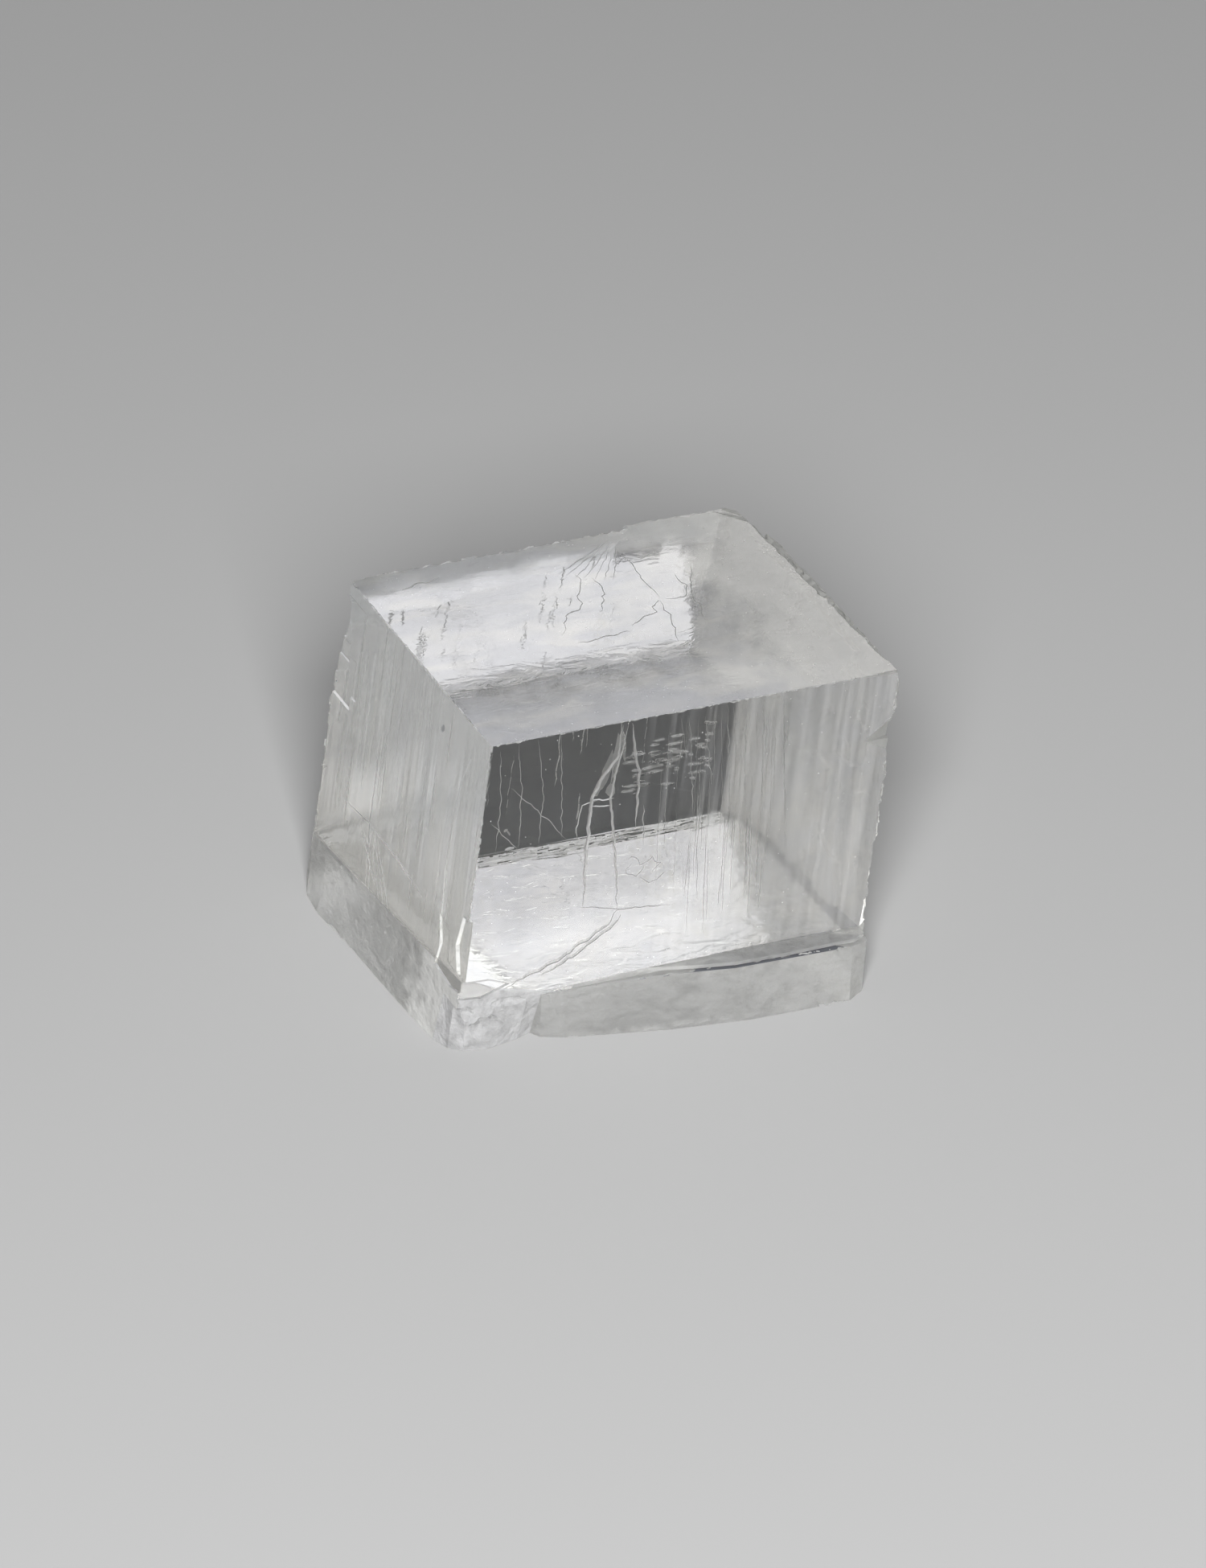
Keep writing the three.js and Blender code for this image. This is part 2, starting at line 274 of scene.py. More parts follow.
    def bump(self, height: bpy.types.NodeSocket, depth: float) -> None:
        """Adds a bump under the shader's normal, on top of any bump it has.

        Args:
            height: socket with the height from 0 to 1.
            depth: height of the relief in millimetres.
        """
        bump = self.add("ShaderNodeBump", Strength=1.0, Distance=depth * MM)
        self.link(height, bump.inputs["Height"])
        earlier = self.shader.inputs["Normal"].links
        if earlier:
            self.link(earlier[0].from_socket, bump.inputs["Normal"])
        self.link(bump.outputs["Normal"], self.shader.inputs["Normal"])


@dataclass(frozen=True)
class Grain:
    """A noise stretched along the cleavage directions.

    Attributes:
        size: length of one cycle along p, q and s, in millimetres.
        detail: octaves of the noise.
        rough: how much the finer octaves count.
        swirl: how far the noise is pulled about.
        low: noise that counts as 0.
        high: noise that counts as 1.
    """

    size: tuple[float, float, float]
    detail: float = 3.0
    rough: float = 0.5
    swirl: float = 0.0
    low: float = 0.3
    high: float = 0.7


@dataclass(frozen=True)
class Relief:
    """A relief on a face: a grain and its height in millimetres."""

    grain: Grain
    depth: float


@dataclass(frozen=True)
class Gather:
    """How patches gather towards one end of the crystal.

    Attributes:
        axis: direction along which they gather.
        start: where they start along it, in millimetres.
        end: where they are full.
        wander: how far the grain moves the border between.
    """

    axis: Axis
    start: float
    end: float
    wander: float


@dataclass(frozen=True)
class Cloud:
    """Cloudiness of a face, in patches, streaks or specks.

    Attributes:
        grain: the patches, streaks or specks.
        rough: roughness inside the cloud.
        clear: share of the light that passes there.
        gather: where it gathers, or None for all over the face.
    """

    grain: Grain
    rough: float
    clear: float
    gather: Gather | None = None


@dataclass(frozen=True)
class StainAndShade:
    """A second colour laid over a face in streaks or patches: a real stain on some faces, painted shade
    on others.
    """

    grain: Grain
    tint: tuple[float, float, float]
    gather: Gather | None = None


@dataclass(frozen=True)
class CalciteFinish:
    """Calcite seen through one kind of face: its clearness and the relief of the face.

    Attributes:
        name: the material's name.
        rough: roughness of the face.
        clear: share of the light that passes; the rest is white break.
        tint: colour of the face.
        reliefs: reliefs on the face.
        clouds: cloudy places, each laid over the ones before.
        stains_and_shade: colours laid over the tint, real stains on some faces and painted shade on
            others.
        index: index of refraction.
        absorb_tint: colour that a thick piece takes on.
        absorb_density: how fast it does, per metre.
    """

    name: str
    rough: float
    clear: float
    tint: tuple[float, float, float] = (1.0, 1.0, 1.0)
    reliefs: tuple[Relief, ...] = ()
    clouds: tuple[Cloud, ...] = ()
    stains_and_shade: tuple[StainAndShade, ...] = ()
    index: float = 1.6
    absorb_tint: tuple[float, float, float] = (0.93, 0.925, 0.88)
    absorb_density: float = 1.5

    def material(self) -> bpy.types.Material:
        """Makes the material.

        Returns:
            A see-through material with plain transmission, index and absorption values.
        """
        bench = NodeBench(self.name)
        bench.set(
            Base_Color=(*self.tint, 1.0),
            Roughness=self.rough,
            IOR=self.index,
            Transmission_Weight=self.clear,
        )
        for cloud in self.clouds:
            amount = bench.amount(cloud.grain, cloud.gather)
            bench.blend("Roughness", amount, cloud.rough)
            bench.blend("Transmission Weight", amount, cloud.clear)
        # Real stains, and painted shade on the top and the right end, go over the base colour.
        for overlay in self.stains_and_shade:
            amount = bench.amount(overlay.grain, overlay.gather)
            bench.blend("Base Color", amount, (*overlay.tint, 1.0))
        for relief in self.reliefs:
            bench.bump(bench.grain(relief.grain, clamp=False), relief.depth)
        absorb = bench.add(
            "ShaderNodeVolumeAbsorption",
            Color=(*self.absorb_tint, 1.0),
            Density=self.absorb_density,
        )
        bench.link(absorb.outputs["Volume"], bench.output.inputs["Volume"])
        return bench.material


SPECKS = Cloud(Grain((0.3, 0.3, 0.3), detail=1.0, low=0.74, high=0.78), rough=0.5, clear=0.6)

FOOT = CalciteFinish(
    "calcite_foot",
    rough=0.5,
    clear=0.86,
    tint=(0.97, 0.97, 0.955),
    stains_and_shade=(
        StainAndShade(
            Grain((1.8, 1.8, 0.9), detail=5.0, rough=0.7, swirl=1.0, low=0.45, high=0.7),
            tint=(0.82, 0.82, 0.8),
        ),
    ),
    clouds=(
        Cloud(
            Grain((3.4, 3.4, 1.5), detail=5.0, rough=0.7, swirl=1.0, low=0.38, high=0.72),
            rough=0.6,
            clear=0.79,
        ),
    ),
    reliefs=(Relief(Grain((1.4, 1.4, 1.0), detail=4.0, rough=0.55), 0.1),),
)

SKINS: dict[Skin, CalciteFinish] = {
    Skin.TOP: CalciteFinish(
        "calcite_top",
        rough=0.0,
        clear=1.0,
        # Painted shade: the grey-blue tint dims the whole top face and its bright field, though clear
        # calcite has no colour.
        tint=(0.665, 0.672, 0.732),
        stains_and_shade=(
            StainAndShade(Grain((9.0, 1.5, 9.0), detail=5.0, rough=0.6, swirl=1.5), tint=(0.62, 0.63, 0.67)),
            StainAndShade(
                Grain((8.0, 3.0, 8.0), detail=3.0, swirl=1.0, low=0.45, high=0.8),
                tint=(0.9, 0.88, 0.85),
            ),
            # Lifts the top's painted shade towards the right end.
            StainAndShade(
                Grain((5.0, 7.0, 5.0)),
                tint=(0.97, 0.96, 0.935),
                gather=Gather(Axis.P, start=24.0, end=40.0, wander=12.0),
            ),
        ),
        clouds=(
            Cloud(
                Grain((3.0, 1.2, 3.0), detail=5.0, rough=0.6, low=0.4, high=0.9), rough=0.12, clear=0.93
            ),
            Cloud(
                Grain((3.0, 3.0, 3.0), low=0.1, high=0.9),
                rough=0.25,
                clear=0.76,
                gather=Gather(Axis.Q, start=12.0, end=2.0, wander=8.0),
            ),
            Cloud(
                Grain((5.0, 7.0, 5.0), low=0.1, high=0.9),
                rough=0.26,
                clear=0.76,
                gather=Gather(Axis.P, start=22.0, end=48.0, wander=16.0),
            ),
            SPECKS,
        ),
        reliefs=(
            Relief(Grain((9.0, 7.0, 9.0), detail=2.0), 0.02),
            Relief(Grain((3.5, 1.8, 3.5), detail=4.0, rough=0.5, swirl=1.5), 0.025),
        ),
    ),
    Skin.FRONT: CalciteFinish(
        "calcite_front",
        rough=0.0,
        clear=1.0,
        tint=(1.0, 0.99, 0.965),
        stains_and_shade=(
            StainAndShade(
                Grain((2.6, 1.0, 1.7), detail=6.0, rough=0.65, swirl=1.5, low=0.48, high=0.68),
                tint=(0.86, 0.86, 0.87),
            ),
            StainAndShade(Grain((6.0, 5.0, 5.0), detail=3.0, swirl=1.0), tint=(0.96, 0.965, 0.985)),
            StainAndShade(Grain((0.7, 1.0, 30.0), detail=3.0, low=0.6, high=0.9), tint=(0.97, 0.94, 0.9)),
        ),
        clouds=(
            Cloud(Grain((0.35, 1.0, 18.0), detail=3.0, low=0.6, high=1.0), rough=0.15, clear=0.92),
            Cloud(
                Grain((9.0, 1.0, 7.0), detail=4.0, rough=0.5),
                rough=0.12,
                clear=0.78,
                gather=Gather(Axis.S, start=20.0, end=8.0, wander=8.0),
            ),
            Cloud(
                Grain((0.8, 1.0, 26.0), detail=5.0, rough=0.7),
                rough=0.2,
                clear=0.94,
                gather=Gather(Axis.P, start=20.0, end=35.0, wander=13.0),
            ),
            Cloud(
                Grain((1.1, 1.0, 30.0), detail=3.0, rough=0.5),
                rough=0.26,
                clear=0.83,
                gather=Gather(Axis.P, start=18.0, end=66.0, wander=32.0),
            ),
            SPECKS,
        ),
        reliefs=(Relief(Grain((9.0, 7.0, 12.0), detail=2.0), 0.02),),
    ),
    Skin.LEFT: CalciteFinish(
        "calcite_left",
        rough=0.2,
        clear=0.82,
        tint=(1.0, 0.99, 0.945),
        stains_and_shade=(
            StainAndShade(
                Grain((1.6, 1.1, 40.0), detail=3.0),
                tint=(0.87, 0.885, 0.9),
                gather=Gather(Axis.S, start=6.0, end=34.0, wander=12.0),
            ),
        ),
        clouds=(
            Cloud(
                Grain((1.0, 0.5, 30.0), detail=4.0, rough=0.6, low=0.4, high=1.0), rough=0.35, clear=0.8
            ),
        ),
        reliefs=(
            Relief(Grain((0.6, 0.5, 30.0), detail=3.0), 0.012),
            Relief(Grain((3.0, 2.4, 60.0), detail=2.0), 0.1),
        ),
    ),
    Skin.BACK: CalciteFinish(
        "calcite_back",
        rough=0.0,
        clear=1.0,
        tint=(0.88, 0.92, 0.96),
        clouds=(
            Cloud(
                Grain((6.0, 5.0, 3.0), detail=4.0),
                rough=0.4,
                clear=0.72,
                gather=Gather(Axis.S, start=28.0, end=33.5, wander=3.0),
            ),
            Cloud(Grain((0.3, 1.0, 22.0), detail=3.0, low=0.6, high=1.0), rough=0.15, clear=0.9),
        ),
        reliefs=(
            Relief(Grain((9.0, 7.0, 20.0), detail=2.0), 0.02),
            Relief(Grain((0.8, 0.8, 24.0), detail=3.0), 0.004),
        ),
    ),
    Skin.END: CalciteFinish(
        "calcite_end",
        rough=0.7,
        clear=0.8,
        tint=(0.93, 0.92, 0.88),
        stains_and_shade=(
            # Painted shade: a dark grey over the right end, growing towards the top.
            StainAndShade(
                Grain((8.0, 1.6, 16.0), detail=4.0),
                tint=(0.52, 0.52, 0.505),
                gather=Gather(Axis.S, start=10.0, end=24.0, wander=10.0),
            ),
        ),
        clouds=(
            Cloud(Grain((2.0, 1.4, 8.0), detail=4.0), rough=0.7, clear=0.68),
            Cloud(
                Grain((3.0, 3.0, 3.0), detail=4.0),
                rough=0.7,
                clear=0.25,
                gather=Gather(Axis.S, start=23.0, end=12.0, wander=5.0),
            ),
        ),
        reliefs=(Relief(Grain((2.5, 2.0, 12.0), detail=4.0), 0.15),),
    ),
    Skin.BREAK: CalciteFinish(
        "calcite_break",
        rough=0.55,
        clear=0.5,
        tint=(0.75, 0.75, 0.76),
        stains_and_shade=(StainAndShade(Grain((1.0, 1.0, 1.0), detail=5.0, rough=0.65), tint=(0.63, 0.63, 0.635)),),
        clouds=(Cloud(Grain((1.2, 1.2, 1.2), detail=5.0), rough=0.6, clear=0.7),),
        reliefs=(
            Relief(Grain((0.4, 0.4, 0.4), detail=5.0, rough=0.6), 0.07),
            Relief(Grain((1.8, 1.8, 1.8), detail=3.0), 0.12),
        ),
    ),
    Skin.FILM: CalciteFinish(
        "calcite_film",
        rough=0.0,
        clear=1.0,
        clouds=(
            Cloud(
                Grain((4.0, 3.0, 4.0), detail=5.0, rough=0.55, swirl=1.2, low=0.5, high=0.9),
                rough=0.2,
                clear=0.92,
            ),
        ),
        reliefs=(Relief(Grain((3.0, 2.2, 3.0), detail=4.0, rough=0.5, swirl=1.0), 0.045),),
    ),
    Skin.VEIL: CalciteFinish("calcite_veil", rough=0.45, clear=0.9, tint=(0.97, 0.97, 0.97)),
    Skin.FOOT: FOOT,
    Skin.BASE: CalciteFinish("calcite_base", rough=0.1, clear=0.9),
    Skin.CHIP: CalciteFinish("calcite_chip", rough=0.5, clear=0.8, tint=(0.88, 0.88, 0.88)),
    Skin.FLANK: replace(
        FOOT,
        name="calcite_flank",
        clear=0.86,
        tint=(0.92, 0.92, 0.9),
        clouds=(
            *FOOT.clouds,
            Cloud(
                Grain((2.0, 2.0, 2.0), detail=5.0, rough=0.65),
                rough=0.6,
                clear=0.6,
                gather=Gather(Axis.Q, start=11.0, end=6.5, wander=4.5),
            ),
        ),
    ),
    # Near black: painted shade inside the open slot under the lip, and the colour of the dark speck on
    # the left face.
    Skin.GROOVE: CalciteFinish("calcite_slot_shade_and_speck", rough=0.4, clear=0.3, tint=(0.12, 0.125, 0.14)),
}


# ---- tools for closed shapes -------------------------------------------------------------------


class Workbench:
    """Makes closed shapes in cleavage coordinates and cuts or joins them."""

    def __init__(self) -> None:
        """Makes the finishes, one for each skin."""
        self.materials = [SKINS[skin].material() for skin in Skin]

    def mesh(self, shape: bmesh.types.BMesh, skin: Skin) -> bpy.types.Mesh:
        """Ends a shape as a mesh that wears one skin.

        Args:
            shape: the shape, which is freed.
            skin: the skin of every face.

        Returns:
            A mesh with all the skins in its slots.
        """
        bmesh.ops.recalc_face_normals(shape, faces=shape.faces)
        for face in shape.faces:
            face.material_index = skin
        mesh = bpy.data.meshes.new("shape")
        shape.to_mesh(mesh)
        shape.free()
        for material in self.materials:
            mesh.materials.append(material)
        return mesh

    def prism(
        self, axis: Axis, outline: Outline, low: float, high: float, skin: Skin
    ) -> bpy.types.Mesh:
        """Makes a prism square to one axis.

        Args:
            axis: the axis it runs along.
            outline: (p, q) for a prism along s, (q, s) along p and (p, s) along q.
            low: where it starts along its axis.
            high: where it ends.
            skin: its skin.

        Returns:
            The prism.
        """
        shape = bmesh.new()
        rims = []
        for level in (low, high):
            rim = []
            for a, b in outline:
                place = {Axis.S: (a, b, level), Axis.P: (level, a, b), Axis.Q: (a, level, b)}[axis]
                rim.append(shape.verts.new(place))
            rims.append(rim)
        count = len(outline)
        shape.faces.new(rims[0])
        shape.faces.new(rims[1])
        for i in range(count):
            j = (i + 1) % count
            shape.faces.new((rims[0][i], rims[0][j], rims[1][j], rims[1][i]))
        bmesh.ops.triangulate(shape, faces=[face for face in shape.faces if len(face.verts) > 4])
        return self.mesh(shape, skin)

    def sheet(
        self,
        outline: Callable[[float, float], bool],
        level: Callable[[float, float], float],
        thick: float,
        span: tuple[float, float, float, float],
        cell: float,
        skin: Skin,
    ) -> bpy.types.Mesh:
        """Makes a thin closed sheet along the base cleavage, on a grid of p and q.

        Args:
            outline: says whether a point (p, q) lies on the sheet.
            level: the sheet's s at a point (p, q).
            thick: its thickness.
            span: lowest p, highest p, lowest q and highest q.
            cell: spacing of the grid.
            skin: its skin.

        Returns:
            The sheet.
        """
        shape = bmesh.new()
        low_p, high_p, low_q, high_q = span
        across = round((high_p - low_p) / cell)
        deep = round((high_q - low_q) / cell)
        corners: dict[tuple[int, int], tuple[bmesh.types.BMVert, bmesh.types.BMVert]] = {}

        def corner(i: int, j: int) -> tuple[bmesh.types.BMVert, bmesh.types.BMVert]:
            """Gives the lower and upper vertex at a grid corner.

            Args:
                i: steps along p.
                j: steps along q.

            Returns:
                Both vertices, made once.
            """
            if (i, j) not in corners:
                p, q = low_p + i * cell, low_q + j * cell
                s = level(p, q)
                corners[i, j] = (shape.verts.new((p, q, s)), shape.verts.new((p, q, s + thick)))
            return corners[i, j]

        cells = {
            (i, j)
            for i in range(across)
            for j in range(deep)
            if outline(low_p + (i + 0.5) * cell, low_q + (j + 0.5) * cell)
        }
        for i, j in cells:
            ring = [corner(i, j), corner(i + 1, j), corner(i + 1, j + 1), corner(i, j + 1)]
            shape.faces.new([low for low, _ in reversed(ring)])
            shape.faces.new([high for _, high in ring])
            beside = ((i, j - 1), (i + 1, j), (i, j + 1), (i - 1, j))
            for k, other in enumerate(beside):
                if other not in cells:
                    (a, b), (c, d) = ring[k], ring[(k + 1) % 4]
                    shape.faces.new((a, c, d, b))
        return self.mesh(shape, skin)

    def apply(
        self, body: bpy.types.Mesh, tools: Iterable[bpy.types.Mesh], operation: Operation
    ) -> bpy.types.Mesh:
        """Cuts tools from a body or joins them to it.

        Args:
            body: the closed mesh worked on.
            tools: closed meshes.
            operation: cut or join.

        Returns:
            The new body.
        """
        bench = bpy.data.collections.new("tools")
        carriers = []
        for tool in tools:
            carrier = bpy.data.objects.new("tool", tool)
            bench.objects.link(carrier)
            carriers.append(carrier)
        worked = bpy.data.objects.new("worked", body)
        bpy.context.scene.collection.objects.link(worked)
        modifier = worked.modifiers.new("tools", "BOOLEAN")
        modifier.solver = "MANIFOLD"
        modifier.operation = operation.value
        modifier.operand_type = "COLLECTION"
        modifier.collection = bench
        bpy.context.view_layer.update()
        depsgraph = bpy.context.evaluated_depsgraph_get()
        result = bpy.data.meshes.new_from_object(worked.evaluated_get(depsgraph))
        for spare in (worked, *carriers):
            bpy.data.objects.remove(spare)
        bpy.data.collections.remove(bench)
        return result


# ---- cracks, flaws and chips ----------------------------------------------------------------


class Side(Enum):
    """A face of the block: the axis it is square to, its place there and the way inwards."""

    FRONT = (Axis.Q, 0.0, 1.0)
    LEFT = (Axis.P, 0.0, 1.0)
    TOP = (Axis.S, Cleavage.rise, -1.0)
    END = (Axis.P, Cleavage.length, -1.0)
    BACK = (Axis.Q, Cleavage.depth, -1.0)

    def point(self, a: float, b: float, depth: float) -> Point:
        """Gives a place below the face.

        Args:
            a: first place on the face, p or q.
            b: second place on the face, q or s.
            depth: how far below the face.

        Returns:
            Its (p, q, s).
        """
        axis, level, inward = self.value
        across = level + inward * depth
        return {Axis.P: (across, a, b), Axis.Q: (a, across, b), Axis.S: (a, b, across)}[axis]


def spread_along(path: Outline, step: float) -> list[Vector]:
    """Spreads points evenly along a path.

    Args:
        path: the path's corners.
        step: spacing of the points.

    Returns:
        The points, with both ends.
    """
    points = []
    for start, end in zip(path, path[1:]):
        start, end = Vector(start), Vector(end)
        count = max(1, round((end - start).length / step))
        points += [start.lerp(end, i / count) for i in range(count)]
    return [*points, Vector(path[-1])]


@dataclass(frozen=True)
class Crack:
    """A fine crack that opens on a face and runs out below it.

    Attributes:
        side: the face.
        path: its trace on the face.
        width: its opening.
        depth: how deep it runs.
        lean: how far its root lies beside its trace.
        ragged: how far the trace strays.
        skin: the finish of its walls.
        step: spacing of the points along it.
        over: how far it starts above the face.
        thinnest: share of its width that is left at its ends.
        taper: share of its length over which it thins out.
        stray_rate: how fast it strays along its trace.
        shuffle: sets the straying of cracks of unlike widths apart.
    """

    side: Side
    path: Outline
    width: float = 0.12
    depth: float = 0.4
    lean: tuple[float, float] = (0.15, 0.0)
    ragged: float = 0.14
    skin: Skin = Skin.VEIL
    step: float = 0.45
    over: float = 0.05
    thinnest: float = 0.2
    taper: float = 0.2
    stray_rate: float = 1.1
    shuffle: float = 50.0

    def build(self, bench: Workbench) -> bpy.types.Mesh:
        """Makes the wedge of air.

        Args:
            bench: the workbench.

        Returns:
            A closed wedge that tapers to both ends.
        """
        rate, layer = self.stray_rate, self.width * self.shuffle
        spine = [
            at + noise.noise_vector((at.x * rate, at.y * rate, layer)).xy * self.ragged
            for at in spread_along(self.path, self.step)
        ]
        shape = bmesh.new()
        rings = []
        for i, at in enumerate(spine):
            way = spine[min(i + 1, len(spine) - 1)] - spine[max(i - 1, 0)]
            beside = Vector((-way.y, way.x)).normalized()
            share = i / (len(spine) - 1)
            full = self.thinnest + (1 - self.thinnest) * min(share, 1 - share) / self.taper
            full = min(1.0, full)
            half = beside * self.width / 2 * full
            root = at + Vector(self.lean) * full
            ring = [
                shape.verts.new(self.side.point(*(at - half), -self.over)),
                shape.verts.new(self.side.point(*(at + half), -self.over)),
                shape.verts.new(self.side.point(*root, self.depth * full)),
            ]
            rings.append(ring)
        for before, after in zip(rings, rings[1:]):
            for k in range(3):
                m = (k + 1) % 3
                shape.faces.new((before[k], before[m], after[m], after[k]))
        shape.faces.new(rings[0])
        shape.faces.new(rings[-1])
        bmesh.ops.triangulate(shape, faces=shape.faces)
        return bench.mesh(shape, self.skin)


@dataclass(frozen=True)
class Veil:
    """A lens of air inside the crystal, nearly along one of its faces.

    Attributes:
        side: the face it follows.
        centre: its middle on the face.
        depth: how far below the face it lies.
        size: its half sizes.
        turn: its turn on the face, degrees.
        tilt: how fast its depth grows along both directions of the face.
        thick: its greatest thickness.
        wave: how far it bulges.
        skin: the finish of its walls.
        ragged: how far its border strays, as a share of its size.
        lobes: how often its border strays on the way round.
        bulge_rate: how fast it bulges along the face.
        shuffle: sets the borders of veils at unlike places apart.
        corners: corners round it for each millimetre of its half sizes.
        fewest: fewest corners.
        most: most corners.
    """

    side: Side
    centre: tuple[float, float]
    depth: float
    size: tuple[float, float]
    turn: float = 0.0
    tilt: tuple[float, float] = (0.0, 0.0)
    thick: float = 0.04
    wave: float = 0.1
    skin: Skin = Skin.VEIL
    ragged: float = 0.45
    lobes: float = 2.0
    bulge_rate: float = 0.7
    shuffle: float = 3.1
    corners: float = 4.0
    fewest: int = 8
    most: int = 40

    def build(self, bench: Workbench) -> bpy.types.Mesh:
        """Makes the lens.

        Args:
            bench: the workbench.

        Returns:
            A closed thin lens with a ragged border.
        """
        around = max(self.fewest, min(self.most, round(self.corners * sum(self.size))))
        rings = (0.35, 0.7, 1.0)
        shape = bmesh.new()
        spin = Matrix.Rotation(math.radians(self.turn), 2)
        layer = sum(self.centre) * self.shuffle + self.depth

        def vertex(ring: float, turn: float, lift: float) -> bmesh.types.BMVert:
            """Makes one vertex of the lens.

            Args:
                ring: share of the radius.
                turn: place round the lens, radians.
                lift: height in the lens.

            Returns:
                The vertex.
            """
            across, up, rate = math.cos(turn), math.sin(turn), self.bulge_rate
            stray = noise.noise((self.lobes * across, self.lobes * up, layer))
            reach = ring * (1 + self.ragged * stray)
            off = spin @ Vector((across * self.size[0], up * self.size[1])) * reach
            at = Vector(self.centre) + off
            bulge = self.wave * noise.noise((at.x * rate, at.y * rate, layer))
            sink = off.x * self.tilt[0] + off.y * self.tilt[1] + bulge
            return shape.verts.new(self.side.point(at.x, at.y, self.depth + sink + lift))

        turns = [2 * math.pi * k / around for k in range(around)]
        border = [vertex(1.0, turn, 0.0) for turn in turns]
        for way in (-0.5, 0.5):
            lifts = [way * self.thick * (1 - ring**2) for ring in rings]
            circles = [[vertex(r, t, lift) for t in turns] for r, lift in zip(rings[:-1], lifts)]
            circles.append(border)
            middle = vertex(0.0, 0.0, way * self.thick)
            for k in range(around):
                m = (k + 1) % around
                shape.faces.new((middle, circles[0][k], circles[0][m]))
                for inner, outer in zip(circles, circles[1:]):
                    shape.faces.new((inner[k], outer[k], outer[m], inner[m]))
        bmesh.ops.triangulate(shape, faces=shape.faces)
        return bench.mesh(shape, self.skin)


@dataclass(frozen=True)
class Strokes:
    """Fine strokes up a face, at random places.

    Attributes:
        side: the face.
        seed: seed of the draws.
        count: how many strokes.
        across: lowest and highest place across the face.
        crowd: below 1 they crowd towards the higher end.
        foot: lowest and highest s of their lower ends.
        tall: shortest and longest stroke.
        slant: how far they lean back for each millimetre up.
        stray: how far they lean at random.
        widths: least and greatest width.
        depth: how deep they are.
        root: how far their roots lie beside them.
        ragged: how far they stray.
        top: greatest s that they reach.
    """

    side: Side
    seed: int
    count: int
    across: tuple[float, float]
    foot: tuple[float, float]
    tall: tuple[float, float]
    widths: tuple[float, float]
    depth: float
    root: float
    ragged: float
    crowd: float = 1.0
    slant: float = 0.0
    stray: float = 0.2
    top: float = 35.6

    def cracks(self) -> list[Crack]:
        """Places the strokes.

        Returns:
            One crack for each.
        """
        draw = random.Random(self.seed)
        low, high = self.across
        cracks = []
        for _ in range(self.count):
            a, s = low + (high - low) * draw.random() ** self.crowd, draw.uniform(*self.foot)
            tall = draw.uniform(*self.tall)
            tip = a - self.slant * tall + draw.uniform(-self.stray, self.stray)
            path = [(a, s), (tip, min(self.top, s + tall))]
            width = draw.uniform(*self.widths)
            cracks.append(Crack(self.side, path, width, self.depth, (self.root, 0.0), self.ragged))
        return cracks


@dataclass(frozen=True)
class Edge:
    """A worn edge: its two ends, how many chips it has and how large they are."""

    start: Point
    end: Point
    chips: int
    largest: float


